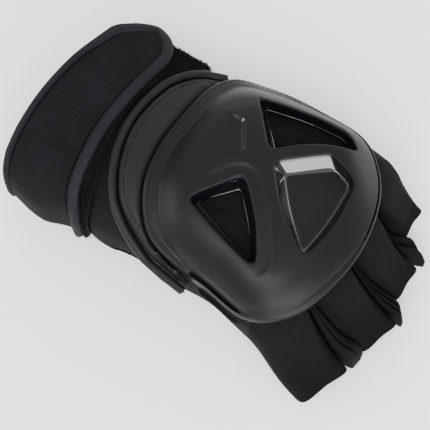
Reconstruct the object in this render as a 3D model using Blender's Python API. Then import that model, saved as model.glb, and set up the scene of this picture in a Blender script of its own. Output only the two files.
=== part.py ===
"""Left-hand field hockey glove with short fingers, palm down.

The fingers point along +X, the thumb side is -Y and the back of the hand is +Z.
"""
import math

import bmesh
import bpy
import numpy as np
from mathutils import Vector
from mathutils.geometry import delaunay_2d_cdt

for old in list(bpy.data.objects):
    bpy.data.objects.remove(old, do_unlink=True)

# Named sizes
MM = 0.001
GLOVE_LENGTH = 188 * MM
HAND_WIDTH = 106 * MM
BACK_HEIGHT = 49 * MM
SLEEVE_WALL = 2.2 * MM
FINGER_WALL = 1.6 * MM
CLEAR = 0.3 * MM
CLOTH_CLEAR = 0.6 * MM
BAND_CLEAR = 1.2 * MM
TOUCH = 0.05 * MM
EDGE_STEP = 3.6 * MM
FIELD_STEP = 6.6 * MM
BASE_STEP = 7.2 * MM
OUTLINE_STEP = 5.0 * MM
SLEEVE_END = 0.745
THUMB_HOLE_LONG = 30 * MM
THUMB_HOLE_HIGH = 13 * MM
BASE_THICK = 1.2 * MM
BASE_LEDGE = 1.8 * MM
BASE_TUCK = 1.0 * MM
SHELL_EDGE = 2.4 * MM
SHELL_THICK = 9.0 * MM
SHELL_SHOULDER = 17 * MM
SEWN_FLANGE = 6.0 * MM
WINDOW_DRAFT = 3.4 * MM
POCKET_DRAFT = 5.0 * MM
WINDOW_LIP = 1.0 * MM
POCKET_FLOOR = 2.4 * MM
LABEL_RECESS = 1.4 * MM
PAD_THICK = 3.4 * MM
PAD_SLOPE = 4.0 * MM
PIPING_WIDE = 4.2 * MM
LOOP_THICK = 2.0 * MM
LOOP_BULGE = 2.2 * MM
STRAP_THICK = 3.0 * MM
BINDING_WIDE = 4.0 * MM
BINDING_THICK = 4.2 * MM
GUSSET_TAB = 3.0 * MM
LONG_GUSSET_TAB = 8.0 * MM
GUSSET_LEAST = 0.25 * MM
RIDGE_HIGH = 1.0 * MM
ARC_DEGREE = 0.64 * MM

# Hand sleeve sections: shares of length, of width (two sides) and of height (top and bottom)
SLEEVE = np.array((
    # along, thumb side, little side, top, bottom
    (0.000, -0.378, 0.430, 0.900, 0.174),
    (0.080, -0.405, 0.434, 0.920, 0.174),
    (0.160, -0.412, 0.440, 0.940, 0.174),
    (0.240, -0.362, 0.452, 0.960, 0.160),
    (0.285, -0.394, 0.472, 0.970, 0.115),
    (0.319, -0.407, 0.495, 0.980, 0.061),
    (0.479, -0.382, 0.580, 1.000, 0.000),
    (0.612, -0.344, 0.632, 0.980, 0.000),
    (0.745, -0.349, 0.651, 0.900, 0.000),
    (0.878, -0.340, 0.613, 0.780, 0.000),
))
SLEEVE_SIDES = 38
SLEEVE_PARTS = 16
FINGER_SIDES = 18
FINGER_PARTS = 6
BAND_TURNS = 32
STRAP_TURNS = 32
BAND_PARTS = 7
TOP_ROUND = 2.5
PALM_ROUND = 3.6
PALM_FLAT = 1.03

# Plan outlines: share of length, share of width
SHELL_OUTLINE = (
    (0.345, 0.500), (0.314, 0.377), (0.311, 0.189), (0.319, 0.000), (0.351, -0.170),
    (0.415, -0.302), (0.495, -0.340), (0.612, -0.340), (0.713, -0.345), (0.782, -0.292),
    (0.824, -0.179), (0.840, 0.000), (0.836, 0.189), (0.809, 0.376), (0.754, 0.510),
    (0.670, 0.596), (0.559, 0.598), (0.436, 0.560),
)
CUFF_LINE = (
    (0.320, 0.470), (0.265, 0.405), (0.230, 0.300), (0.217, 0.189), (0.217, 0.047),
    (0.235, -0.080), (0.268, -0.195), (0.314, -0.292), (0.368, -0.345), (0.430, -0.372),
    (0.500, -0.384), (0.564, -0.384),
)
# Window corners, each rounded by the corner radius in the third column
FRONT_THUMB_WINDOW = (
    (0.453, -0.120, 0.014), (0.553, -0.186, 0.080), (0.696, -0.200, 0.026),
    (0.644, -0.042, 0.080), (0.541, 0.115, 0.020),
)
FRONT_POCKET = (
    (0.562, 0.206, 0.018), (0.664, 0.080, 0.080), (0.772, -0.050, 0.022), (0.779, 0.189, 0.080),
    (0.763, 0.390, 0.022), (0.660, 0.424, 0.022),
)
LITTLE_WINDOW = (
    (0.426, 0.450, 0.012), (0.541, 0.258, 0.018), (0.718, 0.552, 0.014), (0.574, 0.512, 0.080),
)
LABEL_PANEL = (
    (0.372, 0.283, 0.030), (0.372, 0.000, 0.030), (0.431, -0.028, 0.014),
    (0.498, 0.170, 0.014), (0.431, 0.300, 0.014),
)

# Fingers: base edges across the width, tip centre, tip half sizes as shares, turn of the end in degrees
FINGERS = (
    # name, base low, base high, tip along, tip across, tip half width, tip half height, turn
    ("finger_index", -0.349, -0.091, 0.944, -0.302, 0.123, 0.150, 15.0),
    ("finger_middle", -0.088, 0.164, 0.984, 0.010, 0.103, 0.150, 11.0),
    ("finger_ring", 0.167, 0.404, 0.950, 0.268, 0.092, 0.148, -5.0),
    ("finger_little", 0.407, 0.651, 0.874, 0.498, 0.084, 0.140, -6.0),
)
# Finger change along its length
FINGER_FALL = np.array((
    # way, blend to tip shape, bottom as share of height, droop in degrees
    (0.00, 0.00, 0.000, 0.0),
    (0.25, 0.22, 0.004, 14.0),
    (0.50, 0.52, 0.012, 24.0),
    (0.75, 0.80, 0.035, 31.0),
    (1.00, 1.00, 0.075, 34.0),
))

# Strap edges round the wrist: degrees from the little-finger side over the back
STRAP_START = 33.0
STRAP_END = 330.0
TONGUE_ROUND = 21.0
STRAP_EDGES = np.array((
    # turn, rear edge, front edge as shares of length
    (33.0, 0.030, 0.200),
    (60.0, 0.012, 0.196),
    (90.0, -0.004, 0.191),
    (120.0, 0.006, 0.206),
    (145.0, 0.018, 0.233),
    (180.0, 0.040, 0.262),
    (205.0, 0.040, 0.256),
    (240.0, 0.022, 0.224),
    (270.0, 0.014, 0.210),
    (330.0, 0.012, 0.200),
))
LOOP_EDGES = np.array((
    # turn, rear edge, front edge, bulge
    (0.0, 0.040, 0.262, 1.0),
    (35.0, 0.040, 0.252, 1.0),
    (60.0, 0.040, 0.212, 0.2),
    (90.0, 0.040, 0.200, 0.0),
    (120.0, 0.045, 0.215, 0.0),
    (145.0, 0.055, 0.243, 0.0),
    (180.0, 0.080, 0.278, 0.0),
    (205.0, 0.080, 0.268, 0.0),
    (240.0, 0.055, 0.242, 0.0),
    (270.0, 0.050, 0.222, 0.0),
    (330.0, 0.045, 0.250, 0.4),
    (360.0, 0.040, 0.262, 1.0),
))


def column(table, number, at):
    """Smooth value of one table column at a place in the first column."""
    xs = table[:, 0]
    ys = table[:, number]
    slope = np.gradient(ys, xs)
    at = min(max(at, xs[0]), xs[-1])
    i = min(max(int(np.searchsorted(xs, at)) - 1, 0), len(xs) - 2)
    step = xs[i + 1] - xs[i]
    t = (at - xs[i]) / step
    start = (2 * t ** 3 - 3 * t ** 2 + 1) * ys[i] + (t ** 3 - 2 * t ** 2 + t) * step * slope[i]
    end = (3 * t ** 2 - 2 * t ** 3) * ys[i + 1] + (t ** 3 - t ** 2) * step * slope[i + 1]
    return start + end


def soft_step(value):
    """Smooth change from nought to one."""
    value = min(max(value, 0.0), 1.0)
    return value * value * (3 - 2 * value)


def section_sizes(x):
    """Middle line, half width, middle height and half height of the hand section at x."""
    share = x / GLOVE_LENGTH
    low = column(SLEEVE, 1, share) * HAND_WIDTH
    high = column(SLEEVE, 2, share) * HAND_WIDTH
    top = column(SLEEVE, 3, share) * BACK_HEIGHT
    bottom = max(column(SLEEVE, 4, share), 0.0) * BACK_HEIGHT
    return (low + high) / 2, (high - low) / 2, (top + bottom) / 2, (top - bottom) / 2


def hand_point(x, turn, off=0.0):
    """Point on the hand section at x, moved outward by off."""
    middle, half_wide, level, half_high = section_sizes(x)
    c = math.cos(turn)
    s = math.sin(turn)
    power = 2 / (TOP_ROUND if s >= 0 else PALM_ROUND)
    rise = abs(s) ** power if s >= 0 else -min(PALM_FLAT * abs(s) ** power, 1.0)
    y = middle + (half_wide + off) * math.copysign(abs(c) ** power, c)
    return Vector((x, y, level + (half_high + off) * rise))


def back_height(x, y, off=0.0):
    """Height of the back of the hand above a plan point, moved outward by off."""
    middle, half_wide, level, half_high = section_sizes(x)
    across = min(abs(y - middle) / (half_wide + off), 0.985)
    return level + (half_high + off) * (1 - across ** TOP_ROUND) ** (1 / TOP_ROUND)


def smooth_loop(points, closed, parts):
    """Smooth curve through plan points given as shares."""
    spots = [Vector((p[0] * GLOVE_LENGTH, p[1] * HAND_WIDTH)) for p in points]
    count = len(spots)
    out = []
    for i in range(count if closed else count - 1):
        if closed:
            a, b, c, d = spots[i - 1], spots[i], spots[(i + 1) % count], spots[(i + 2) % count]
        else:
            a, b = spots[max(i - 1, 0)], spots[i]
            c, d = spots[i + 1], spots[min(i + 2, count - 1)]
        for k in range(parts):
            t = k / parts
            out.append(0.5 * (2 * b + (c - a) * t + (2 * a - 5 * b + 4 * c - d) * t ** 2
                              + (3 * b - a - 3 * c + d) * t ** 3))
    if not closed:
        out.append(spots[-1])
    return out


def rounded_corners(corners, draw_in=0.0, parts=4):
    """Anticlockwise outline of straight runs with rounded corners, drawn in by draw_in."""
    count = len(corners)
    plan = [Vector((c[0] * GLOVE_LENGTH, c[1] * HAND_WIDTH)) for c in corners]
    spots = []
    for i, here in enumerate(plan):
        first = (here - plan[i - 1]).normalized()
        second = (plan[(i + 1) % count] - here).normalized()
        left = Vector((-first.y, first.x)) + Vector((-second.y, second.x))
        spots.append(here + left * draw_in / (1 + first.dot(second)))
    out = []
    for i, here in enumerate(spots):
        back = spots[i - 1] - here
        ahead = spots[(i + 1) % count] - here
        reach = min(corners[i][2] * GLOVE_LENGTH * 1.6, 0.45 * back.length, 0.45 * ahead.length)
        first = here + back.normalized() * reach
        last = here + ahead.normalized() * reach
        for k in range(parts + 1):
            t = k / parts
            out.append((1 - t) ** 2 * first + 2 * t * (1 - t) * here + t * t * last)
    return out


def divided(outline, spacing):
    """The same closed outline with long runs divided."""
    out = []
    for i, here in enumerate(outline):
        there = outline[(i + 1) % len(outline)]
        parts = max(1, round((there - here).length / spacing))
        for k in range(parts):
            out.append(here.lerp(there, k / parts))
    return out


def signed_area(outline):
    """Area of a closed outline, plus when it runs anticlockwise."""
    total = 0.0
    for i, here in enumerate(outline):
        there = outline[(i + 1) % len(outline)]
        total += here.x * there.y - there.x * here.y
    return total / 2


def inset(outline, amount, closed=True):
    """Each point moved to the left of its run by amount."""
    count = len(outline)
    out = []
    for i, here in enumerate(outline):
        before = outline[i - 1] if closed or i else here
        after = outline[(i + 1) % count] if closed or i < count - 1 else here
        run = (after - before).normalized()
        shift = amount(here) if callable(amount) else amount
        out.append(here + Vector((-run.y, run.x)) * shift)
    return out


def inside(point, outline):
    """Whether a plan point lies in a closed outline."""
    hit = False
    for i, a in enumerate(outline):
        b = outline[i - 1]
        if (a.y > point.y) != (b.y > point.y):
            if point.x < (b.x - a.x) * (point.y - a.y) / (b.y - a.y) + a.x:
                hit = not hit
    return hit


def edge_distance(point, outline):
    """Shortest plan distance from a point to a closed outline."""
    best = 1.0
    for i, a in enumerate(outline):
        b = outline[i - 1]
        run = b - a
        t = min(max((point - a).dot(run) / max(run.length_squared, 1e-12), 0.0), 1.0)
        best = min(best, (point - a - run * t).length)
    return best


def material(name, colour, rough, shine=0.5):
    """Plain shader for one kind of material."""
    made = bpy.data.materials.new(name)
    made.use_nodes = True
    shader = made.node_tree.nodes["Principled BSDF"]
    shader.inputs["Base Color"].default_value = (*colour, 1)
    shader.inputs["Roughness"].default_value = rough
    shader.inputs["Specular IOR Level"].default_value = shine
    return made


def add_object(name, corners, faces, shader):
    """New object from corner points and faces, with its outside facing out."""
    mesh = bpy.data.meshes.new(name)
    mesh.from_pydata([tuple(c) for c in corners], [], faces)
    bm = bmesh.new()
    bm.from_mesh(mesh)
    bmesh.ops.triangulate(bm, faces=[f for f in bm.faces if len(f.verts) > 4])
    bmesh.ops.recalc_face_normals(bm, faces=bm.faces)
    bm.to_mesh(mesh)
    bm.free()
    mesh.shade_smooth()
    mesh.set_sharp_from_angle(angle=math.radians(42))
    mesh.materials.append(shader)
    made = bpy.data.objects.new(name, mesh)
    bpy.context.collection.objects.link(made)
    return made


def stacked(rings, closed_way):
    """Faces between rings of equal count; the last ring joins the first when closed_way."""
    count = len(rings[0])
    faces = []
    for i in range(len(rings) if closed_way else len(rings) - 1):
        j = (i + 1) % len(rings)
        for k in range(count):
            m = (k + 1) % count
            faces.append((i * count + k, i * count + m, j * count + m, j * count + k))
    return faces


def hollow_tube(name, outer, inner, shader):
    """Tube open at both ends, from outer and inner rings."""
    rings = outer + inner[::-1]
    corners = [p for ring in rings for p in ring]
    return add_object(name, corners, stacked(rings, True), shader)


def closed_loft(name, rings, shader):
    """Solid through rings, capped at both ends."""
    corners = [p for ring in rings for p in ring]
    faces = stacked(rings, False)
    count = len(rings[0])
    faces.append(tuple(range(count)))
    faces.append(tuple(range(len(corners) - count, len(corners))))
    return add_object(name, corners, faces, shader)


def ring_loft(name, rings, shader):
    """Solid through rings that close on themselves."""
    corners = [p for ring in rings for p in ring]
    return add_object(name, corners, stacked(rings, True), shader)


def plate(name, outline, loops, openings, top, bottom, spacing, shader):
    """Shaped sheet over the back of the hand.

    loops are further outlines that the surface must follow, openings those left open.
    """
    spots = list(outline)
    edges = [(i, (i + 1) % len(outline)) for i in range(len(outline))]
    spots += [
        p for p in inset(outline, 0.9 * EDGE_STEP)
        if edge_distance(p, outline) > 0.75 * EDGE_STEP
        and not any(inside(p, loop) or edge_distance(p, loop) < 0.6 * EDGE_STEP for loop in loops)
    ]
    for loop in loops:
        start = len(spots)
        edges += [(start + i, start + (i + 1) % len(loop)) for i in range(len(loop))]
        spots += loop
    low_x = min(p.x for p in outline)
    high_x = max(p.x for p in outline)
    low_y = min(p.y for p in outline)
    high_y = max(p.y for p in outline)
    rows = max(2, round((high_x - low_x) / spacing))
    lines = max(2, round((high_y - low_y) / spacing))
    for i in range(1, rows):
        for j in range(1, lines):
            shift = 0.5 * (i % 2)
            spot = Vector((low_x + (high_x - low_x) * i / rows, low_y + (high_y - low_y) * (j + shift) / lines))
            if not inside(spot, outline) or edge_distance(spot, outline) < EDGE_STEP * 1.4:
                continue
            if any(edge_distance(spot, loop) < spacing * 0.5 for loop in loops):
                continue
            if any(inside(spot, opening) for opening in openings):
                continue
            spots.append(spot)
    flat, _, cells, _, _, _ = delaunay_2d_cdt(spots, edges, [], 0, 1e-7)
    kept = []
    for cell in cells:
        centre = (flat[cell[0]] + flat[cell[1]] + flat[cell[2]]) / 3
        if inside(centre, outline) and not any(inside(centre, opening) for opening in openings):
            kept.append(tuple(cell))
    used = sorted({i for cell in kept for i in cell})
    new = {old: i for i, old in enumerate(used)}
    kept = [tuple(new[i] for i in cell) for cell in kept]
    count = len(used)
    corners = [Vector((flat[i].x, flat[i].y, top(flat[i]))) for i in used]
    corners += [Vector((flat[i].x, flat[i].y, bottom(flat[i]))) for i in used]
    faces = list(kept)
    faces += [(c[2] + count, c[1] + count, c[0] + count) for c in kept]
    sides = {}
    for cell in kept:
        for a, b in ((cell[0], cell[1]), (cell[1], cell[2]), (cell[2], cell[0])):
            if (b, a) in sides:
                del sides[(b, a)]
            else:
                sides[(a, b)] = True
    faces += [(b, a, a + count, b + count) for a, b in sides]
    return add_object(name, corners, faces, shader)


def outward(x, turn, off):
    """Direction straight out of the surface, also where it slopes along the hand."""
    along = hand_point(x + MM, turn, off) - hand_point(x - MM, turn, off)
    around = hand_point(x, turn + 0.02, off) - hand_point(x, turn - 0.02, off)
    return around.cross(along).normalized()


# Materials
NEOPRENE = material("neoprene", (0.012, 0.012, 0.013), 0.72)
STRETCH_CLOTH = material("stretch_cloth", (0.014, 0.014, 0.015), 0.78)
LEATHER = material("synthetic_leather", (0.016, 0.016, 0.017), 0.48)
MOULDED = material("moulded_shell", (0.010, 0.010, 0.011), 0.30)
LOOP_PILE = material("loop_pile", (0.008, 0.008, 0.009), 0.95)
BOUND_EDGE = material("bound_edge", (0.014, 0.014, 0.015), 0.60)


# Hand sleeve: one soft tube with both ends open and a thumb hole in the side
def sleeve_ring(x, off):
    """One ring of the sleeve."""
    return [hand_point(x, 2 * math.pi * (k + 0.5) / SLEEVE_SIDES, off) for k in range(SLEEVE_SIDES)]


sleeve_stations = [SLEEVE_END * GLOVE_LENGTH * i / SLEEVE_PARTS for i in range(SLEEVE_PARTS + 1)]
sleeve = hollow_tube(
    "hand_sleeve",
    [sleeve_ring(x, 0.0) for x in sleeve_stations],
    [sleeve_ring(x, -SLEEVE_WALL) for x in sleeve_stations],
    NEOPRENE,
)

# Thumb hole, cut through the thumb side of the sleeve only
thumb_x = 0.415 * GLOVE_LENGTH
thumb_middle, thumb_half, thumb_level, thumb_high = section_sizes(thumb_x)
bpy.ops.mesh.primitive_cylinder_add(vertices=28, radius=0.5, depth=1)
thumb_cutter = bpy.context.object
thumb_cutter.name = "thumb_cutter"
thumb_cutter.scale = (THUMB_HOLE_LONG, THUMB_HOLE_HIGH, 0.5 * thumb_half)
thumb_cutter.rotation_euler = (math.radians(90), 0, 0)
thumb_cutter.location = (thumb_x, thumb_middle - thumb_half, 0.62 * thumb_level)
thumb_cutter.hide_render = True
thumb_cutter.display_type = "WIRE"
cut = sleeve.modifiers.new("thumb_hole", "BOOLEAN")
cut.operation = "DIFFERENCE"
cut.solver = "EXACT"
cut.object = thumb_cutter


# Guard shell: domed moulded plate with two open windows, one pocket and a shallow panel
shell_outline = divided(smooth_loop(SHELL_OUTLINE, True, 4), EDGE_STEP * 1.5)
shell_centre = Vector((0.575 * GLOVE_LENGTH, 0.135 * HAND_WIDTH))
rim_table = sorted(
    (math.atan2(p.y - shell_centre.y, p.x - shell_centre.x), (p - shell_centre).length)
    for p in shell_outline
)
rim_turns = np.array([r[0] for r in rim_table])
rim_reach = np.array([r[1] for r in rim_table])


def rim_distance(spot):
    """Distance in from the rim of the shell."""
    arm = spot - shell_centre
    reach = np.interp(math.atan2(arm.y, arm.x), rim_turns, rim_reach, period=2 * math.pi)
    return max(float(reach) - arm.length, 0.0)


SHELL_LIFT = CLOTH_CLEAR + BASE_THICK + CLOTH_CLEAR
windows = [divided(rounded_corners(w), OUTLINE_STEP) for w in (FRONT_THUMB_WINDOW, LITTLE_WINDOW)]
window_feet = [
    divided(rounded_corners(w, WINDOW_DRAFT), OUTLINE_STEP) for w in (FRONT_THUMB_WINDOW, LITTLE_WINDOW)
]
pocket = divided(rounded_corners(FRONT_POCKET), OUTLINE_STEP)
pocket_foot = divided(rounded_corners(FRONT_POCKET, POCKET_DRAFT), OUTLINE_STEP)
label_panel = divided(rounded_corners(LABEL_PANEL), OUTLINE_STEP)
label_foot = divided(rounded_corners(LABEL_PANEL, LABEL_RECESS), OUTLINE_STEP)


def shell_build(spot):
    """Thickness of the shell above its underside."""
    flange = SEWN_FLANGE * (1 - soft_step((spot.x / GLOVE_LENGTH - 0.40) / 0.20)) + SHELL_EDGE / 2
    way = min(max((rim_distance(spot) - flange) / SHELL_SHOULDER, 0.0), 1.0)
    thick = SHELL_EDGE + (SHELL_THICK - SHELL_EDGE) * (1 - (1 - way) ** 2)
    for foot in window_feet:
        if inside(spot, foot) or edge_distance(spot, foot) < TOUCH:
            return WINDOW_LIP
    if inside(spot, pocket_foot) or edge_distance(spot, pocket_foot) < TOUCH:
        return POCKET_FLOOR
    if inside(spot, label_foot) or edge_distance(spot, label_foot) < TOUCH:
        fade = soft_step((spot.x / GLOVE_LENGTH - 0.37) / 0.05)
        return thick - LABEL_RECESS * fade
    return thick


def shell_top(spot):
    """Height of the outside of the shell."""
    return back_height(spot.x, spot.y, SHELL_LIFT + shell_build(spot))


def shell_bottom(spot):
    """Height of the underside of the shell."""
    return back_height(spot.x, spot.y, SHELL_LIFT)


plate(
    "guard_shell",
    shell_outline,
    windows + window_feet + [pocket, pocket_foot, label_panel, label_foot],
    window_feet,
    shell_top,
    shell_bottom,
    FIELD_STEP,
    MOULDED,
)


# Guard base: thin cloth layer under the shell, with a ledge that shows along the thumb side
def ledge(spot):
    """Outward reach of the base past the shell rim."""
    along = spot.x / GLOVE_LENGTH
    reach = -BASE_TUCK
    if spot.y < 0:
        reach += (BASE_LEDGE + BASE_TUCK) * soft_step((along - 0.575) / 0.03) * (1 - soft_step((along - 0.70) / 0.06))
    return -reach


base_outline = inset(shell_outline, ledge)
plate(
    "guard_base",
    base_outline,
    [],
    [],
    lambda spot: back_height(spot.x, spot.y, CLOTH_CLEAR + BASE_THICK),
    lambda spot: back_height(spot.x, spot.y, CLOTH_CLEAR),
    BASE_STEP,
    STRETCH_CLOTH,
)

# Cuff pad: padded crescent between the shell and the wrist
cuff_line = smooth_loop(CUFF_LINE, False, 3)
pad_outer = inset(cuff_line, PIPING_WIDE / 2 + CLEAR, closed=False)
seam_run = []
for spot in inset(shell_outline, -CLOTH_CLEAR):
    if spot.x > 0.572 * GLOVE_LENGTH:
        break
    seam_run.append(spot)
seam_run = [p for p in seam_run if p.y < 0.44 * HAND_WIDTH]
pad_outer = [
    p for p in pad_outer
    if p.x < 0.572 * GLOVE_LENGTH and edge_distance(p, shell_outline) > PIPING_WIDE / 3
]
pad_outline = pad_outer + seam_run[::-1]
pad_outline = divided(pad_outline, OUTLINE_STEP)
if signed_area(pad_outline) < 0:
    pad_outline.reverse()


def pad_build(spot):
    """Thickness of the pad, a little less at its edges."""
    return PAD_THICK * (0.70 + 0.30 * soft_step(edge_distance(spot, pad_outline) / PAD_SLOPE))


plate(
    "cuff_pad",
    pad_outline,
    [],
    [],
    lambda spot: back_height(spot.x, spot.y, CLOTH_CLEAR + pad_build(spot)),
    lambda spot: back_height(spot.x, spot.y, CLOTH_CLEAR),
    FIELD_STEP,
    LEATHER,
)


def bead(name, path, normals, half_wide, half_high, shader, sides=8):
    """Oval cord along a path, capped at both ends."""
    rings = []
    for i, here in enumerate(path):
        run = (path[min(i + 1, len(path) - 1)] - path[max(i - 1, 0)]).normalized()
        up = (normals[i] - run * normals[i].dot(run)).normalized()
        side = run.cross(up)
        ring = []
        for k in range(sides):
            turn = 2 * math.pi * k / sides
            ring.append(here + side * half_wide * math.cos(turn) + up * half_high * math.sin(turn))
        rings.append(ring)
    return closed_loft(name, rings, shader)


# Cuff piping: round bead along the outer edge of the pad
piping_off = CLOTH_CLEAR + PIPING_WIDE / 2
piping_path = []
piping_normals = []
for spot in cuff_line:
    here = Vector((spot.x, spot.y, back_height(spot.x, spot.y, piping_off)))
    beside_x = Vector((spot.x + MM, spot.y, back_height(spot.x + MM, spot.y, piping_off)))
    beside_y = Vector((spot.x, spot.y + MM, back_height(spot.x, spot.y + MM, piping_off)))
    piping_path.append(here)
    piping_normals.append((beside_x - here).cross(beside_y - here).normalized())
bead("cuff_piping", piping_path, piping_normals, PIPING_WIDE / 2, PIPING_WIDE / 2, LEATHER)


def band_ring(turn, rear, front, low, high):
    """One slice through a flat band round the wrist."""
    ring = []
    places = [rear + (front - rear) * k / BAND_PARTS for k in range(BAND_PARTS + 1)]
    for x in places:
        ring.append(hand_point(x, turn, low))
    for x in places[::-1]:
        ring.append(hand_point(x, turn, high))
    return ring


# Loop band: ring of pile that the strap closes on
def loop_lift(turn_degrees):
    """Height of the pile surface above the sleeve."""
    return BAND_CLEAR + LOOP_THICK + LOOP_BULGE * column(LOOP_EDGES, 3, turn_degrees)


loop_rings = []
for k in range(BAND_TURNS):
    degrees = 360 * k / BAND_TURNS
    loop_rings.append(band_ring(
        math.radians(degrees),
        column(LOOP_EDGES, 1, degrees) * GLOVE_LENGTH,
        column(LOOP_EDGES, 2, degrees) * GLOVE_LENGTH,
        BAND_CLEAR,
        loop_lift(degrees),
    ))
ring_loft("loop_band", loop_rings, LOOP_PILE)


# Wrist strap: flat strap round the wrist with a rounded tongue over the back
def strap_edges(degrees, edge_in, start):
    """Rear and front edge of the strap, drawn in by edge_in, closing at the tongue."""
    rear = column(STRAP_EDGES, 1, degrees) * GLOVE_LENGTH + edge_in
    front = column(STRAP_EDGES, 2, degrees) * GLOVE_LENGTH - edge_in
    way = min(max((degrees - start) / TONGUE_ROUND, 0.0), 1.0)
    full = (1 - (1 - way) ** 2.5) ** (1 / 2.5)
    centre = (rear + front) / 2
    half = (front - rear) / 2 * full
    return centre - half, centre + half


def strap_lift(degrees):
    """Height of the strap underside above the sleeve."""
    return loop_lift(degrees) + CLOTH_CLEAR


body_start = STRAP_START + (BINDING_WIDE + CLOTH_CLEAR) / ARC_DEGREE
strap_rings = []
for k in range(STRAP_TURNS + 1):
    way = k / STRAP_TURNS
    degrees = body_start + (STRAP_END - body_start) * (way ** 1.35)
    rear, front = strap_edges(max(degrees, body_start + 0.25), BINDING_WIDE + CLOTH_CLEAR, body_start)
    low = strap_lift(degrees)
    strap_rings.append(band_ring(math.radians(degrees), rear, front, low, low + STRAP_THICK))
closed_loft("wrist_strap", strap_rings, NEOPRENE)

# Strap binding: folded edge all round the strap except at its sewn end
binding_start = STRAP_START + BINDING_WIDE / 2 / ARC_DEGREE
binding_spots = []
turns = [binding_start + (STRAP_END - binding_start) * (k / 32) ** 1.6 for k in range(33)]
for degrees in turns[::-1]:
    binding_spots.append((degrees, strap_edges(degrees, BINDING_WIDE / 2, binding_start)[0]))
for degrees in turns[1:]:
    binding_spots.append((degrees, strap_edges(degrees, BINDING_WIDE / 2, binding_start)[1]))
binding_path = []
binding_normals = []
for degrees, x in binding_spots:
    off = strap_lift(degrees) + BINDING_THICK / 2
    binding_path.append(hand_point(x, math.radians(degrees), off))
    binding_normals.append(outward(x, math.radians(degrees), off))
bead("strap_binding", binding_path, binding_normals, BINDING_WIDE / 2, BINDING_THICK / 2, BOUND_EDGE)


# Fingers: short open tubes side by side, drooping to the table
def base_reach(turn, low, high):
    """Reach of the finger base outline from its centre at one turn."""
    x = SLEEVE_END * GLOVE_LENGTH
    middle, half_wide, level, half_high = section_sizes(x)
    centre_y = (low + high) / 2
    half = (high - low) / 2
    c = math.cos(turn)
    s = math.sin(turn)
    near = 0.0
    far = (abs(c / half) ** 5 + abs(s / half_high) ** 5) ** (-1 / 5)
    if oval_share(centre_y + far * c - middle, far * s, half_wide, half_high) < 1:
        return far
    for _ in range(30):
        mid = (near + far) / 2
        if oval_share(centre_y + mid * c - middle, mid * s, half_wide, half_high) < 1:
            near = mid
        else:
            far = mid
    return near


def oval_share(across, up, half_wide, half_high):
    """Below one inside the hand section, above one outside it."""
    power = TOP_ROUND if up >= 0 else PALM_ROUND
    return (abs(across) / half_wide) ** power + (abs(up) / half_high) ** power


def finger_frame(row, way):
    """Centre, side and up directions of one finger ring, with its sizes."""
    _, low, high, tip_x, tip_y, tip_wide, tip_high, turn = row
    start_x = SLEEVE_END * GLOVE_LENGTH + CLEAR
    level = section_sizes(start_x)[2]
    blend = column(FINGER_FALL, 1, way)
    droop = math.radians(column(FINGER_FALL, 3, way))
    heading = math.radians(turn) * soft_step(way)
    x = start_x + (tip_x * GLOVE_LENGTH - start_x) * way
    y = HAND_WIDTH * ((low + high) / 2 * (1 - blend) + tip_y * blend)
    half_high = level * (1 - blend) + tip_high * BACK_HEIGHT * blend
    z = half_high * math.cos(droop) + max(column(FINGER_FALL, 2, way), 0.0) * BACK_HEIGHT
    centre = Vector((x, y, z))
    side = Vector((math.sin(heading), math.cos(heading), 0))
    up = Vector((math.sin(droop) * math.cos(heading), -math.sin(droop) * math.sin(heading), math.cos(droop)))
    return centre, side, up, blend


def finger_ring(row, way, wall):
    """One ring of a finger, drawn in by wall."""
    centre, side, up, blend = finger_frame(row, way)
    low, high = row[1] * HAND_WIDTH, row[2] * HAND_WIDTH
    ring = []
    for k in range(FINGER_SIDES):
        turn = 2 * math.pi * (k + 0.5) / FINGER_SIDES
        c = math.cos(turn)
        s = math.sin(turn)
        tip = (abs(c / (row[5] * HAND_WIDTH)) ** 3 + abs(s / (row[6] * BACK_HEIGHT)) ** 3) ** (-1 / 3)
        reach = base_reach(turn, low, high) * (1 - blend) + tip * blend - wall
        ring.append(centre + side * reach * c + up * reach * s)
    return ring


FINGER_WAYS = [k / FINGER_PARTS for k in range(FINGER_PARTS + 1)]
for row in FINGERS:
    hollow_tube(
        row[0],
        [finger_ring(row, way, 0.0) for way in FINGER_WAYS],
        [finger_ring(row, way, FINGER_WALL) for way in FINGER_WAYS],
        STRETCH_CLOTH,
    )


# Finger gussets: ridged strips of folded cloth in the gaps between the fingers
def finger_side(row, way, sign):
    """Furthest side point of a finger ring."""
    centre, side, up, blend = finger_frame(row, way)
    half = (row[2] - row[1]) / 2 * (1 - blend) + row[5] * blend
    return centre + side * sign * half * HAND_WIDTH, centre.z, up


GUSSETS = (
    ("gusset_index_middle", GUSSET_TAB),
    ("gusset_middle_ring", GUSSET_TAB),
    ("gusset_ring_little", LONG_GUSSET_TAB),
)
for number, (gusset, tab) in enumerate(GUSSETS):
    low_row = FINGERS[number]
    high_row = FINGERS[number + 1]
    rings = []
    for k in range(9):
        way = 0.30 + 0.70 * k / 8
        left, left_z, up = finger_side(low_row, way, 1)
        right, right_z, _ = finger_side(high_row, way, -1)
        middle = (left + right) / 2
        half = max((right - left).length / 2 - CLOTH_CLEAR, GUSSET_LEAST)
        across = (right - left).normalized()
        middle.x += tab * soft_step((way - 0.70) / 0.30)
        high_z = 2 * min(left_z, right_z) * 0.86
        ring = []
        for share, rise in ((-1, -1.5), (-0.6, 0), (-0.25, -1), (0, 0), (0.25, -1), (0.6, 0), (1, -1.5)):
            spot = middle + across * half * share
            ring.append(Vector((spot.x, spot.y, high_z + rise * RIDGE_HIGH)))
        foot = 0.02 * BACK_HEIGHT + 0.06 * BACK_HEIGHT * way
        for share in (1, 0.3, -0.3, -1):
            spot = middle + across * half * share
            ring.append(Vector((spot.x, spot.y, foot)))
        rings.append(ring)
    closed_loft(gusset, rings, STRETCH_CLOTH)


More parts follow.
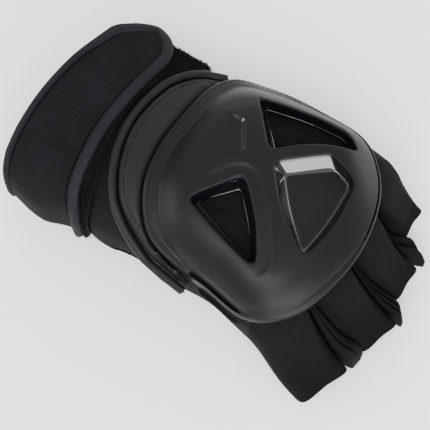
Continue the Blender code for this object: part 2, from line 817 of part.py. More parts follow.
# The whole glove stands with the middle of its box over the origin and its lowest point on the table
bpy.context.view_layer.update()
solids = [o for o in bpy.data.objects if o.type == "MESH" and not o.hide_render]
spots = np.array([tuple(v.co) for o in solids for v in o.data.vertices])
middle = (spots.min(axis=0) + spots.max(axis=0)) / 2
shift = Vector((-middle[0], -middle[1], -spots[:, 2].min()))
for o in solids:
    for corner in o.data.vertices:
        corner.co += shift
thumb_cutter.location += shift
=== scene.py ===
"""Left-hand field hockey glove lying palm down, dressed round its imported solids."""
import math
from itertools import product

import bmesh
import bpy
import numpy as np
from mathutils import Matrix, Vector
from mathutils.geometry import delaunay_2d_cdt


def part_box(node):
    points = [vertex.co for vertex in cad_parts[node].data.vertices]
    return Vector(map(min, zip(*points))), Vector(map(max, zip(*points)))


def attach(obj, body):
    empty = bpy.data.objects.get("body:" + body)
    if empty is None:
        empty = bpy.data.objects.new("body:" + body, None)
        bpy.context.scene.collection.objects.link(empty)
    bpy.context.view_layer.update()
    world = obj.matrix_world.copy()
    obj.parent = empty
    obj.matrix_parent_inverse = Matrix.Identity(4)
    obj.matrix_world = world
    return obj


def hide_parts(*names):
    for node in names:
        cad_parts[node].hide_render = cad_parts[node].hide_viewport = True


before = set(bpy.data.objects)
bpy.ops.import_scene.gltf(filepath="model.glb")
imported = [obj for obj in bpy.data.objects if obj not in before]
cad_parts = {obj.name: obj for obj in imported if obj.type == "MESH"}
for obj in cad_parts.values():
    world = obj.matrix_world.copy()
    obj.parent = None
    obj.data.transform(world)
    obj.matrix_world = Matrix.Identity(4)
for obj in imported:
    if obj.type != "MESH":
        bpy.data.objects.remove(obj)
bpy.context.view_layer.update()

# Camera, surface and lights
# The glove lies on a plain white surface. The camera looks down on its back from the thumb side, under one
# large soft light from above and four low ones all round, which the guard's walls catch.
MM = 0.001
LOOK_AT = Vector((0.0, -12.45, 28.3)) * MM
AZIMUTH = math.radians(38)
ELEVATION = math.radians(68)
DISTANCE = 750 * MM
FOCAL_PIXELS = 1650
PHOTO_PIXELS = 430

to_camera = Vector((
    math.sin(AZIMUTH) * math.cos(ELEVATION),
    -math.cos(AZIMUTH) * math.cos(ELEVATION),
    math.sin(ELEVATION),
))
camera = bpy.data.objects.new("camera", bpy.data.cameras.new("camera"))
camera.data.sensor_width = 36
camera.data.lens = camera.data.sensor_width * FOCAL_PIXELS / PHOTO_PIXELS
camera.location = LOOK_AT + to_camera * DISTANCE
camera.rotation_euler = to_camera.to_track_quat("Z", "Y").to_euler()
bpy.context.collection.objects.link(camera)
bpy.context.scene.camera = camera


def linear(hex_colour):
    """Linear colour from an sRGB hex value."""
    shares = [int(hex_colour[i:i + 2], 16) / 255 for i in (1, 3, 5)]
    return tuple(s / 12.92 if s <= 0.04045 else ((s + 0.055) / 1.055) ** 2.4 for s in shares) + (1.0,)


def add_node(tree, kind, settings=None, links=None, **values):
    """One shader or geometry node, with its settings, its links by socket name or number, and its values."""
    node = tree.nodes.new(kind)
    for name, value in (settings or {}).items():
        setattr(node, name, value)
    for name, value in values.items():
        node.inputs[name.replace("_", " ")].default_value = value
    for name, source in (links or {}).items():
        tree.links.new(source, node.inputs[name])
    return node


def new_material(name, colour, rough, shine=0.5):
    """Material with its constants on the shader's own sockets; returns it with its tree and shader."""
    made = bpy.data.materials.new(name)
    made.use_nodes = True
    shader = made.node_tree.nodes["Principled BSDF"]
    shader.inputs["Base Color"].default_value = linear(colour)
    shader.inputs["Roughness"].default_value = rough
    shader.inputs["Specular IOR Level"].default_value = shine
    return made, made.node_tree, shader


# White painted board, rolled matt: even, with a trace of roller texture
white_surface, tree, shader = new_material("white_painted_board", "#fafafa", 0.9, 0.1)
spots = add_node(tree, "ShaderNodeTexCoord").outputs["Object"]
roller = add_node(tree, "ShaderNodeTexNoise", links={"Vector": spots}, Scale=900.0, Detail=2.0)
bump = add_node(tree, "ShaderNodeBump", links={"Height": roller.outputs["Fac"]}, Strength=0.3,
                Distance=0.03 * MM)
tree.links.new(bump.outputs["Normal"], shader.inputs["Normal"])
board_mesh = bpy.data.meshes.new("surface")
board_mesh.from_pydata([(-2, -2, 0), (2, -2, 0), (2, 2, 0), (-2, 2, 0)], [], [(0, 1, 2, 3)])
board_mesh.materials.append(white_surface)
board = bpy.data.objects.new("surface", board_mesh)
board.location.z = -0.2 * MM
bpy.context.collection.objects.link(board)

studio = bpy.data.worlds.new("studio")
studio.use_nodes = True
tree = studio.node_tree
tree.nodes["Background"].inputs["Color"].default_value = linear("#ffffff")
# The room is dimmer near the floor than overhead, so the polished walls stay dark
ways_up = add_node(tree, "ShaderNodeSeparateXYZ", links={
    "Vector": add_node(tree, "ShaderNodeTexCoord").outputs["Generated"]})
room = add_node(tree, "ShaderNodeMapRange", links={"Value": ways_up.outputs["Z"]}, From_Min=0.05,
                From_Max=0.80, To_Min=0.35, To_Max=1.65)
tree.links.new(room.outputs[0], tree.nodes["Background"].inputs["Strength"])
bpy.context.scene.world = studio


def softbox(name, azimuth, elevation, distance, width, height, power):
    """Rectangular light that faces the glove; azimuth as for the camera."""
    turn, rise = math.radians(azimuth), math.radians(elevation)
    away = Vector((math.sin(turn) * math.cos(rise), -math.cos(turn) * math.cos(rise), math.sin(rise)))
    data = bpy.data.lights.new(name, "AREA")
    data.shape = "RECTANGLE"
    data.size = width
    data.size_y = height
    data.energy = power
    light = bpy.data.objects.new(name, data)
    light.location = LOOK_AT + away * distance
    light.rotation_euler = away.to_track_quat("Z", "Y").to_euler()
    bpy.context.collection.objects.link(light)


softbox("key_light", 24, 55, 1.7, 1.2, 0.9, 31)
softbox("front_light", 57, 15, 1.1, 1.1, 0.55, 18)
softbox("right_light", 156, 8, 1.1, 0.7, 0.32, 5)
softbox("back_light", 218, 24, 1.3, 1.2, 0.5, 6)
softbox("left_light", 308, 20, 1.2, 0.9, 0.4, 8)

# Hand sleeve
# A soft tube of knit-faced neoprene for palm, hand and wrist, open at both ends, with an overlocked
# thumb hole in its side. Everything else is sewn or moulded on to it.
GLOVE_LENGTH = 188 * MM
HAND_WIDTH = 106 * MM
BACK_HEIGHT = 49 * MM
SLEEVE_WALL = 2.2 * MM
SLEEVE_END = 0.745
CLEAR = 0.3 * MM
CLOTH_CLEAR = 0.6 * MM
TOP_ROUND = 2.5
PALM_ROUND = 3.6
PALM_FLAT = 1.03
SLEEVE = np.array((
    # along, thumb side, little side, top, bottom
    (0.000, -0.378, 0.430, 0.900, 0.174),
    (0.080, -0.405, 0.434, 0.920, 0.174),
    (0.160, -0.412, 0.440, 0.940, 0.174),
    (0.240, -0.362, 0.452, 0.960, 0.160),
    (0.285, -0.401, 0.472, 0.970, 0.115),
    (0.319, -0.398, 0.495, 0.980, 0.061),
    (0.380, -0.375, 0.524, 0.988, 0.030),
    (0.479, -0.358, 0.580, 1.000, 0.000),
    (0.612, -0.328, 0.630, 0.980, 0.000),
    (0.745, -0.349, 0.644, 0.900, 0.000),
    (0.878, -0.340, 0.613, 0.780, 0.000),
))


def column(table, number, at):
    """Smooth values of one table column at places in the first column."""
    xs, ys = table[:, 0], table[:, number]
    slope = np.gradient(ys, xs)
    at = np.clip(at, xs[0], xs[-1])
    i = np.clip(np.searchsorted(xs, at) - 1, 0, len(xs) - 2)
    step = xs[i + 1] - xs[i]
    t = (at - xs[i]) / step
    start = (2 * t ** 3 - 3 * t ** 2 + 1) * ys[i] + (t ** 3 - 2 * t ** 2 + t) * step * slope[i]
    end = (3 * t ** 2 - 2 * t ** 3) * ys[i + 1] + (t ** 3 - t ** 2) * step * slope[i + 1]
    return start + end


def soft_step(value):
    """Smooth change from nought to one."""
    value = np.clip(value, 0.0, 1.0)
    return value * value * (3 - 2 * value)


def section_sizes(x):
    """Middle line, half width, middle height and half height of the hand section at x."""
    share = x / GLOVE_LENGTH
    low = column(SLEEVE, 1, share) * HAND_WIDTH
    high = column(SLEEVE, 2, share) * HAND_WIDTH
    top = column(SLEEVE, 3, share) * BACK_HEIGHT
    bottom = np.maximum(column(SLEEVE, 4, share), 0.0) * BACK_HEIGHT
    return (low + high) / 2, (high - low) / 2, (top + bottom) / 2, (top - bottom) / 2


def hand_point(x, turn, off=0.0):
    """Points on the hand section at x, moved outward by off."""
    x, turn, off = np.broadcast_arrays(x, turn, off)
    middle, half_wide, level, half_high = section_sizes(x)
    c, s = np.cos(turn), np.sin(turn)
    power = np.where(s >= 0, 2 / TOP_ROUND, 2 / PALM_ROUND)
    rise = np.abs(s) ** power
    rise = np.where(s >= 0, rise, -np.minimum(PALM_FLAT * rise, 1.0))
    y = middle + (half_wide + off) * np.copysign(np.abs(c) ** power, c)
    return np.stack([x, y, level + (half_high + off) * rise], axis=-1)


def back_height(x, y, off=0.0):
    """Height of the back of the hand above plan points, moved outward by off."""
    middle, half_wide, level, half_high = section_sizes(x)
    across = np.minimum(np.abs(y - middle) / (half_wide + off), 0.985)
    return level + (half_high + off) * (1 - across ** TOP_ROUND) ** (1 / TOP_ROUND)


def cloth_noise(points, size, seed):
    """Soft random height from -1 to 1, with bumps about size apart."""
    lattice = np.random.default_rng(seed).uniform(-1, 1, (24, 24, 24))
    place = np.asarray(points) / size + 100.0
    base = np.floor(place).astype(int)
    t = place - base
    t = t * t * (3 - 2 * t)
    total = np.zeros(place.shape[:-1])
    for corner in product((0, 1), repeat=3):
        weight = np.prod(np.where(np.array(corner) == 1, t, 1 - t), axis=-1)
        i, j, k = np.moveaxis((base + corner) % 24, -1, 0)
        total += weight * lattice[i, j, k]
    return total


def mesh_of(name, points, faces, shader, sharp=38):
    """Smooth-shaded mesh whose unused points are dropped."""
    used = np.unique(np.concatenate([np.ravel(f) for f in faces]))
    new = np.zeros(len(points), int)
    new[used] = np.arange(len(used))
    mesh = bpy.data.meshes.new(name)
    mesh.from_pydata(points[used].tolist(), [], [tuple(new[list(f)]) for f in faces])
    mesh.shade_smooth()
    mesh.set_sharp_from_angle(angle=math.radians(sharp))
    mesh.materials.append(shader)
    piece = bpy.data.objects.new(name, mesh)
    bpy.context.collection.objects.link(piece)
    return piece, used


def walled(name, outside, inside, cells, shader, sharp=38):
    """Closed piece from an outer and an inner sheet with the same cells, joined along every open edge."""
    count = len(outside)
    cells = np.asarray(cells)
    sides = np.stack([cells, np.roll(cells, -1, axis=1)], axis=2).reshape(-1, 2)
    key = sides.min(axis=1) * count + sides.max(axis=1)
    _, first, times = np.unique(key, return_index=True, return_counts=True)
    rim = sides[first[times == 1]]
    faces = list(map(tuple, cells)) + list(map(tuple, cells[:, ::-1] + count))
    faces += [(b, a, a + count, b + count) for a, b in rim]
    return mesh_of(name, np.concatenate([outside, inside]), faces, shader, sharp)


def tube_cells(rows, around):
    """Quads of a tube of rows rings with so many points around, facing outwards."""
    i, k = np.meshgrid(np.arange(rows - 1), np.arange(around), indexing="ij")
    m = (k + 1) % around
    return np.stack([i * around + k, (i + 1) * around + k, (i + 1) * around + m, i * around + m],
                    axis=-1).reshape(-1, 4)[:, ::-1]


def lay_uv(piece, place, wrap=0.0):
    """UV map in metres from one place per point; wrap is the way round where the pattern meets itself."""
    mesh = piece.data
    corners = np.zeros(len(mesh.loops), np.int32)
    mesh.loops.foreach_get("vertex_index", corners)
    uv = place[corners].astype(float)
    if wrap:
        starts = np.zeros(len(mesh.polygons), np.int32)
        mesh.polygons.foreach_get("loop_start", starts)
        face = np.repeat(np.arange(len(starts)), np.diff(np.append(starts, len(corners))))
        uv[:, 1] += wrap * (np.maximum.reduceat(uv[:, 1], starts)[face] - uv[:, 1] > wrap / 2)
    mesh.uv_layers.new(name="cloth").data.foreach_set("uv", uv.ravel().astype(np.float32))


def cloth_face(tree, shader, pitch, depth, dark, light):
    """Yarn rows and soft wear: two crossed waves on the piece's UV map, which is in metres."""
    coords = add_node(tree, "ShaderNodeTexCoord")
    rows = add_node(tree, "ShaderNodeTexWave", {"bands_direction": "X"}, {"Vector": coords.outputs["UV"]},
                    Scale=0.31416 / pitch, Distortion=0.6, Detail=1.0)
    wales = add_node(tree, "ShaderNodeTexWave", {"bands_direction": "Y"}, {"Vector": coords.outputs["UV"]},
                     Scale=0.31416 / pitch / 1.3, Distortion=0.6, Detail=1.0)
    yarn = add_node(tree, "ShaderNodeMath", {"operation": "MULTIPLY"},
                    {0: rows.outputs["Fac"], 1: wales.outputs["Fac"]})
    fuzz = add_node(tree, "ShaderNodeTexNoise", links={"Vector": coords.outputs["Object"]},
                    Scale=1 / (1.6 * MM), Detail=3.0)
    height = add_node(tree, "ShaderNodeMath", {"operation": "ADD"},
                      {0: yarn.outputs[0], 1: fuzz.outputs["Fac"]})
    bump = add_node(tree, "ShaderNodeBump", links={"Height": height.outputs[0]}, Strength=1.0, Distance=depth)
    tree.links.new(bump.outputs["Normal"], shader.inputs["Normal"])
    wear = add_node(tree, "ShaderNodeTexNoise", links={"Vector": coords.outputs["Object"]},
                    Scale=1 / (22 * MM), Detail=5.0, Roughness=0.65)
    mixed = add_node(tree, "ShaderNodeMath", {"operation": "MULTIPLY_ADD"},
                     {0: yarn.outputs[0], 2: wear.outputs["Fac"]})
    mixed.inputs[1].default_value = 0.45
    tones = add_node(tree, "ShaderNodeValToRGB", links={"Fac": mixed.outputs[0]})
    for end, place, colour in zip(tones.color_ramp.elements, (0.32, 0.95), (dark, light)):
        end.position, end.color = place, linear(colour)
    tree.links.new(tones.outputs["Color"], shader.inputs["Base Color"])


def dress(piece, slot, *nodes):
    """Fix a piece to the glove's one body and hide the imported nodes that it stands for; slot is not used.
    """
    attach(piece, "root")
    if nodes:
        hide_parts(*nodes)


WIDEST_AT = 0.16
wrist_middle, wrist_half = section_sizes(WIDEST_AT * GLOVE_LENGTH)[:2]
sleeve_low = wrist_middle - wrist_half
sleeve_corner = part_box("hand_sleeve")[0]
PLACE = np.array((sleeve_corner.x, sleeve_corner.y - sleeve_low, sleeve_corner.z))

# Knit-faced neoprene: circular-knit jersey glued to foam, dull black with a fine even grain. The rows are
# drawn at 1.1 mm, coarser than the real 0.6 mm, so that they show.
neoprene, tree, shader = new_material("knit_faced_neoprene", "#0b0b0d", 0.85, 0.10)
cloth_face(tree, shader, 1.1 * MM, 0.10 * MM, "#08080a", "#121215")

SLEEVE_AROUND = 210
THUMB_AT = 0.415
THUMB_LEVEL = 0.62
THUMB_LONG = 30 * MM
THUMB_HIGH = 13 * MM
LIP_ROUND = 1.1 * MM
sleeve_along = np.concatenate([np.array((0, 0.25, 0.6, 1.1, 1.8)) * MM,
                               np.linspace(2.6 * MM, SLEEVE_END * GLOVE_LENGTH, 150)])
xs, turns = np.meshgrid(sleeve_along, 2 * math.pi * (np.arange(SLEEVE_AROUND) + 0.5) / SLEEVE_AROUND,
                        indexing="ij")
# Slack cloth dents more than it bulges, and it dents less where it lies on the surface
spots = hand_point(xs, turns)
soft = cloth_noise(spots, 24 * MM, 11) * 0.5 * MM + cloth_noise(spots, 9 * MM, 12) * 0.14 * MM
soft = np.where(np.sin(turns) < -0.35, np.minimum(soft, 0) * 0.4, np.minimum(soft, 0.2 * MM))
mouth = np.clip(xs / LIP_ROUND, 0, 1)
rolled_in = SLEEVE_WALL / 2 * (1 - np.sqrt(1 - (1 - mouth) ** 2))
outside = hand_point(xs, turns, soft - rolled_in).reshape(-1, 3)
inside = hand_point(xs, turns, rolled_in - SLEEVE_WALL).reshape(-1, 3)
thumb_x = THUMB_AT * GLOVE_LENGTH
thumb_z = THUMB_LEVEL * section_sizes(thumb_x)[2]
across = (outside[:, 0] - thumb_x) / (THUMB_LONG / 2)
up = (outside[:, 2] - thumb_z) / (THUMB_HIGH / 2)
# The hole is only in the thumb side; its nearest points move out to its edge
oval = np.sqrt(across ** 2 + up ** 2)
oval[outside[:, 1] > 0] = 9
cells = tube_cells(len(sleeve_along), SLEEVE_AROUND)
cells = cells[(oval[cells] >= 1).any(axis=1)]
near = oval < 1
for sheet in (outside, inside):
    sheet[near, 0] = thumb_x + across[near] / oval[near] * THUMB_LONG / 2
    sheet[near, 2] = thumb_z + up[near] / oval[near] * THUMB_HIGH / 2
arc = np.cumsum(np.linalg.norm(np.diff(spots[60], axis=0, prepend=spots[60][-1:]), axis=1))
sleeve_uv = np.stack([xs, np.broadcast_to(arc, xs.shape)], axis=-1).reshape(-1, 2)
sleeve, used = walled("sleeve_cloth", outside + PLACE, inside + PLACE, cells, neoprene)
lay_uv(sleeve, np.tile(sleeve_uv, (2, 1))[used], arc[-1])
dress(sleeve, "neoprene", "hand_sleeve")

# Sewing thread
# Bonded polyester thread, black like the cloth. Each stitch is a short bulge drawn down into the cloth at
# both ends. Geometry Nodes lay them along the seams, and the thumb hole's hem is overlocked the same way.
thread, tree, shader = new_material("bonded_polyester_thread", "#0a0a0c", 0.7, 0.10)
coords = add_node(tree, "ShaderNodeTexCoord").outputs["Object"]
plies = add_node(tree, "ShaderNodeTexNoise", links={"Vector": coords}, Scale=1 / (0.4 * MM), Detail=2.0)
tones = add_node(tree, "ShaderNodeValToRGB", links={"Fac": plies.outputs["Fac"]})
for tone, colour in zip(tones.color_ramp.elements, ("#060608", "#101013")):
    tone.color = linear(colour)
tree.links.new(tones.outputs["Color"], shader.inputs["Base Color"])


def new_geometry_tree(name, sizes):
    """Geometry Nodes tree with its input and output nodes and one named input for each size."""
    tree = bpy.data.node_groups.new(name, "GeometryNodeTree")
    tree.interface.new_socket("Geometry", in_out="OUTPUT", socket_type="NodeSocketGeometry")
    tree.interface.new_socket("Geometry", in_out="INPUT", socket_type="NodeSocketGeometry")
    for size in sizes:
        tree.interface.new_socket(size, in_out="INPUT", socket_type="NodeSocketFloat")
    return tree, add_node(tree, "NodeGroupInput"), add_node(tree, "NodeGroupOutput")


stitch_tree, start, end = new_geometry_tree("sewn_stitches", ("Pitch", "Length", "Thickness"))
line = add_node(stitch_tree, "GeometryNodeMeshToCurve", links={"Mesh": start.outputs["Geometry"]})
spaced = add_node(stitch_tree, "GeometryNodeResampleCurve", {"mode": "LENGTH"},
                  {"Curve": line.outputs["Curve"], "Length": start.outputs["Pitch"]})
stitch = add_node(stitch_tree, "GeometryNodeMeshUVSphere", Segments=6, Rings=5, Radius=0.5)
stitch_size = add_node(stitch_tree, "ShaderNodeCombineXYZ", links={
    "X": start.outputs["Thickness"], "Y": start.outputs["Thickness"], "Z": start.outputs["Length"]})
heading = add_node(stitch_tree, "FunctionNodeAlignRotationToVector", {"axis": "Z"},
                   {"Vector": add_node(stitch_tree, "GeometryNodeInputTangent").outputs["Tangent"]})
laid = add_node(stitch_tree, "GeometryNodeInstanceOnPoints", links={
    "Points": spaced.outputs["Curve"], "Instance": stitch.outputs["Mesh"],
    "Rotation": heading.outputs["Rotation"], "Scale": stitch_size.outputs["Vector"]})
real = add_node(stitch_tree, "GeometryNodeRealizeInstances", links={"Geometry": laid.outputs["Instances"]})
smooth = add_node(stitch_tree, "GeometryNodeSetShadeSmooth", links={"Geometry": real.outputs["Geometry"]})
threaded = add_node(stitch_tree, "GeometryNodeSetMaterial", links={"Geometry": smooth.outputs["Geometry"]},
                    Material=thread)
stitch_tree.links.new(threaded.outputs["Geometry"], end.inputs["Geometry"])


def grown(piece, tree, sizes):
    """Give the piece the plain mesh that its Geometry Nodes tree makes of its own."""
    modifier = piece.modifiers.new("grown", "NODES")
    modifier.node_group = tree
    for item in tree.interface.items_tree:
        if item.name in sizes:
            modifier[item.identifier] = sizes[item.name]
    graph = bpy.context.evaluated_depsgraph_get()
    result = bpy.data.meshes.new_from_object(piece.evaluated_get(graph), depsgraph=graph)
    piece.modifiers.remove(modifier)
    piece.data = result


def stitched(name, runs, slot, pitch=2.8 * MM, long=2.1 * MM, thick=0.42 * MM):
    """One piece of thread stitches along runs of points."""
    points = np.concatenate(runs)
    edges, first = [], 0
    for run in runs:
        edges += [(first + i, first + i + 1) for i in range(len(run) - 1)]
        first += len(run)
    mesh = bpy.data.meshes.new(name)
    mesh.from_pydata((points + PLACE).tolist(), edges, [])
    mesh.materials.append(thread)
    piece = bpy.data.objects.new(name, mesh)
    bpy.context.collection.objects.link(piece)
    grown(piece, stitch_tree, {"Pitch": pitch, "Length": long, "Thickness": thick})
    dress(piece, slot)


HEM_WIDE = 1.4 * MM
turns = np.linspace(0, 2 * math.pi, 49)
hem_x = thumb_x + (THUMB_LONG / 2 + HEM_WIDE) * np.cos(turns)
hem_z = thumb_z + (THUMB_HIGH / 2 + HEM_WIDE) * np.sin(turns)
middle, half_wide, level, half_high = section_sizes(hem_x)
lift = (hem_z - level) / half_high
power = np.where(lift >= 0, TOP_ROUND, PALM_ROUND)
hem_y = middle - half_wide * (1 - np.clip(np.abs(lift), 0, 0.99) ** power) ** (1 / power)
stitched("thumb_hem_stitches", [np.column_stack([hem_x, hem_y - 0.05 * MM, hem_z])], "neoprene")

# Guard shell
# One moulded plate over the back of the hand: a rounded rim, a flat sewn flange towards the wrist, two
# open windows, one closed pocket and a shallow panel. Satin outside, polished in its recesses.
BASE_THICK = 1.2 * MM
SHELL_LIFT = CLOTH_CLEAR + BASE_THICK + CLOTH_CLEAR
SHELL_EDGE = 2.4 * MM
SHELL_THICK = 9.0 * MM
SHELL_SHOULDER = 17 * MM
SEWN_FLANGE = 6.0 * MM
WINDOW_LIP = 1.0 * MM
POCKET_FLOOR = 3.0 * MM
PANEL_RECESS = 1.7 * MM
SHELL_STEP = 1.1 * MM
SHELL_OUTLINE = (
    (0.350, 0.519), (0.314, 0.381), (0.311, 0.189), (0.319, 0.000), (0.351, -0.170),
    (0.415, -0.302), (0.495, -0.340), (0.612, -0.340), (0.713, -0.345), (0.783, -0.292),
    (0.830, -0.179), (0.851, 0.000), (0.849, 0.189), (0.818, 0.376), (0.766, 0.511),
    (0.679, 0.609), (0.559, 0.594), (0.436, 0.581),
)
# Recesses: corners at the top of the wall and at its foot, each with its rounding
THUMB_WINDOW = (
    ((0.466, -0.128, 0.012), (0.572, -0.168, 0.080), (0.695, -0.193, 0.026), (0.627, -0.036, 0.080),
     (0.534, 0.098, 0.018)),
    ((0.480, -0.097, 0.006), (0.566, -0.134, 0.080), (0.673, -0.163, 0.010), (0.604, -0.036, 0.080),
     (0.542, 0.056, 0.006)),
)
POCKET = (
    ((0.571, 0.216, 0.014), (0.651, 0.075, 0.080), (0.763, -0.035, 0.022), (0.772, 0.166, 0.080),
     (0.745, 0.378, 0.018), (0.661, 0.399, 0.010)),
    ((0.609, 0.214, 0.008), (0.672, 0.106, 0.080), (0.748, -0.002, 0.010), (0.750, 0.171, 0.080),
     (0.737, 0.360, 0.012), (0.693, 0.372, 0.008)),
)
LITTLE_WINDOW = (
    ((0.435, 0.430, 0.008), (0.542, 0.249, 0.014), (0.612, 0.400, 0.060), (0.701, 0.502, 0.010),
     (0.652, 0.557, 0.024), (0.552, 0.511, 0.070)),
    ((0.458, 0.428, 0.006), (0.549, 0.282, 0.008), (0.602, 0.418, 0.060), (0.677, 0.515, 0.006),
     (0.648, 0.528, 0.012), (0.561, 0.494, 0.070)),
)
# Millimetres in from the edge, with the rolled rim's rise, the depth of the slot beside the thumb, and the
# panel's straight wall as shares of its depth
RIM_AT = (0, 0.3, 0.7, 1.2, 1.8, 2.3, 2.7, 3.1, 3.6, 4.2)
RIM_ROLL = (-1.35, -0.62, -0.2, 0.0, -0.02, -0.22, -0.52, -0.62, -0.4, 0.0)
SLOT_DEEP = (0.75, 0.2, 0.9, 1.9, 1.9, 0.9, 0.1, -0.15, 0.0, 0.0)
PANEL_AT = (-0.6, -0.3, 0.0, 0.2, 0.6, 1.1, 1.5, 1.7, 2.0, 2.5)
PANEL_WALL_AT = (-0.3, 0.0, 0.2, 1.5, 1.7, 2.0)
PANEL_WALL_SINK = (0, 0.04, 0.13, 0.87, 0.96, 1)
FLANGE_SEAM_IN = 2.2 * MM
CONTOUR_OUT = 5.2 * MM
CONTOUR_DEEP = 0.55 * MM
RIDGE_OUT = 7.4 * MM
RIDGE_HIGH = 0.35 * MM
RIB_PITCH = 1.3 * MM
WRIST_PANEL = (
    (0.372, 0.283, 0.030), (0.372, 0.000, 0.030), (0.437, -0.022, 0.014),
    (0.501, 0.181, 0.008), (0.447, 0.306, 0.008),
)


def smooth_loop(points, closed, parts):
    """Smooth curve through plan points given as shares of length and width."""
    spots = [Vector((p[0] * GLOVE_LENGTH, p[1] * HAND_WIDTH)) for p in points]
    count = len(spots)
    out = []
    for i in range(count if closed else count - 1):
        if closed:
            a, b, c, d = spots[i - 1], spots[i], spots[(i + 1) % count], spots[(i + 2) % count]
        else:
            a, b = spots[max(i - 1, 0)], spots[i]
            c, d = spots[i + 1], spots[min(i + 2, count - 1)]
        for k in range(parts):
            t = k / parts
            out.append(0.5 * (2 * b + (c - a) * t + (2 * a - 5 * b + 4 * c - d) * t ** 2
                              + (3 * b - a - 3 * c + d) * t ** 3))
    if not closed:
        out.append(spots[-1])
    return np.array(out)


def rounded_corners(corners, parts=8):
    """Anticlockwise outline of straight runs with rounded corners."""
    count = len(corners)
    spots = [Vector((c[0] * GLOVE_LENGTH, c[1] * HAND_WIDTH)) for c in corners]
    out = []
    for i, here in enumerate(spots):
        back = spots[i - 1] - here
        ahead = spots[(i + 1) % count] - here
        reach = min(corners[i][2] * GLOVE_LENGTH * 1.6, 0.45 * back.length, 0.45 * ahead.length)
        first = here + back.normalized() * reach
        last = here + ahead.normalized() * reach
        for k in range(parts + 1):
            t = k / parts
            out.append((1 - t) ** 2 * first + 2 * t * (1 - t) * here + t * t * last)
    return np.array(out)


def down_the_wall(recess, share):
    """Rounded outline of a recess at a share of the way from the top of its wall to the foot."""
    top, foot = np.array(recess[0]), np.array(recess[1])
    return evenly(rounded_corners(top + (foot - top) * share), 0.8 * MM)


def evenly(outline, spacing, closed=True):
    """The same outline with points about spacing apart."""
    ends = np.concatenate([outline, outline[:1]]) if closed else outline
    along = np.concatenate([[0], np.cumsum(np.linalg.norm(np.diff(ends, axis=0), axis=1))])
    count = max(8, int(round(along[-1] / spacing)))
    at = np.linspace(0, along[-1], count + 1)[:count if closed else None]
    return np.stack([np.interp(at, along, ends[:, k]) for k in range(ends.shape[1])], axis=-1)


def inset(outline, amount, closed=True):
    """Each point moved to the left of its run by amount."""
    if closed:
        run = np.roll(outline, -1, axis=0) - np.roll(outline, 1, axis=0)
    else:
        run = np.gradient(outline, axis=0)
    run = unit(run)
    return outline + np.stack([-run[:, 1], run[:, 0]], axis=-1) * np.reshape(amount, (-1, 1))


def unit(ways):
    """Rows brought to length one."""
    return ways / np.linalg.norm(ways, axis=1, keepdims=True)


def on_back(plan, off):
    """Points over plan points, at off from the back of the hand."""
    return np.column_stack([plan, back_height(plan[:, 0], plan[:, 1], off)])


def loop_distance(points, outline):
    """Distance from plan points to a closed outline, plus inside it."""
    a, b = outline, np.roll(outline, -1, axis=0)
    run = b - a
    best = np.full(len(points), 1.0)
    hits = np.zeros(len(points), int)
    for start, end, way in zip(a, b, run):
        t = np.clip(((points - start) @ way) / max(way @ way, 1e-16), 0, 1)
        best = np.minimum(best, np.linalg.norm(points - start - t[:, None] * way, axis=1))
        crosses = (start[1] > points[:, 1]) != (end[1] > points[:, 1])
        with np.errstate(divide="ignore", invalid="ignore"):
            at = way[0] * (points[:, 1] - start[1]) / way[1] + start[0]
        hits += crosses & (points[:, 0] < at)
    return np.where(hits % 2 == 1, best, -best)


def plan_sheet(outline, loops, openings, spacing):
    """Plan points and triangles over an outline, which follow the loops and leave the openings out."""
    rings = [outline] + list(loops)
    spots = np.concatenate(rings)
    edges, start = [], 0
    for ring in rings:
        edges += [(start + i, start + (i + 1) % len(ring)) for i in range(len(ring))]
        start += len(ring)
    low, high = outline.min(axis=0), outline.max(axis=0)
    gx, gy = np.meshgrid(
        np.arange(low[0], high[0], spacing), np.arange(low[1], high[1], spacing * 0.866), indexing="ij")
    gx = gx + spacing * 0.5 * (np.arange(gy.shape[1]) % 2)[None, :]
    grid = np.stack([gx.ravel(), gy.ravel()], axis=-1)
    grid = grid[loop_distance(grid, outline) > spacing * 0.6]
    for loop in loops:
        grid = grid[np.abs(loop_distance(grid, loop)) > spacing * 0.55]
    for opening in openings:
        grid = grid[loop_distance(grid, opening) < 0]
    spots = np.concatenate([spots, grid])
    flat, _, cells, _, _, _ = delaunay_2d_cdt([Vector(p) for p in spots], edges, [], 0, 1e-8)
    flat = np.array([tuple(p) for p in flat])
    cells = np.array([c for c in cells if len(c) == 3])
    centre = flat[cells].mean(axis=1)
    keep = loop_distance(centre, outline) > 0
    for opening in openings:
        keep &= loop_distance(centre, opening) < 0
    return flat, cells[keep]


# Moulded thermoplastic rubber: satin where the mould was etched, mirror-like where it was polished, in the
# walls of its recesses. The polish attribute says which, and faint scuffs break up the satin.
moulded, tree, shader = new_material("moulded_rubber_plastic", "#09090c", 0.34, 0.17)
coords = add_node(tree, "ShaderNodeTexCoord").outputs["Object"]
polish_here = add_node(tree, "ShaderNodeAttribute", {"attribute_name": "polish"})
tree.links.new(polish_here.outputs["Fac"], shader.inputs["Coat Weight"])
shader.inputs["Coat Roughness"].default_value = 0.04
shader.inputs["Coat IOR"].default_value = 1.65
scuffs = add_node(tree, "ShaderNodeTexNoise", links={"Vector": coords}, Scale=1 / (9 * MM), Detail=6.0,
                  Roughness=0.7)
satin = add_node(tree, "ShaderNodeMapRange", links={"Value": scuffs.outputs["Fac"]}, To_Min=0.36, To_Max=0.50)
finish = add_node(tree, "ShaderNodeMix", {"data_type": "FLOAT"},
                  {0: polish_here.outputs["Fac"], 2: satin.outputs[0]})
finish.inputs[3].default_value = 0.06
tree.links.new(finish.outputs[0], shader.inputs["Roughness"])
etch = add_node(tree, "ShaderNodeTexNoise", links={"Vector": coords}, Scale=1 / (0.5 * MM), Detail=2.0)
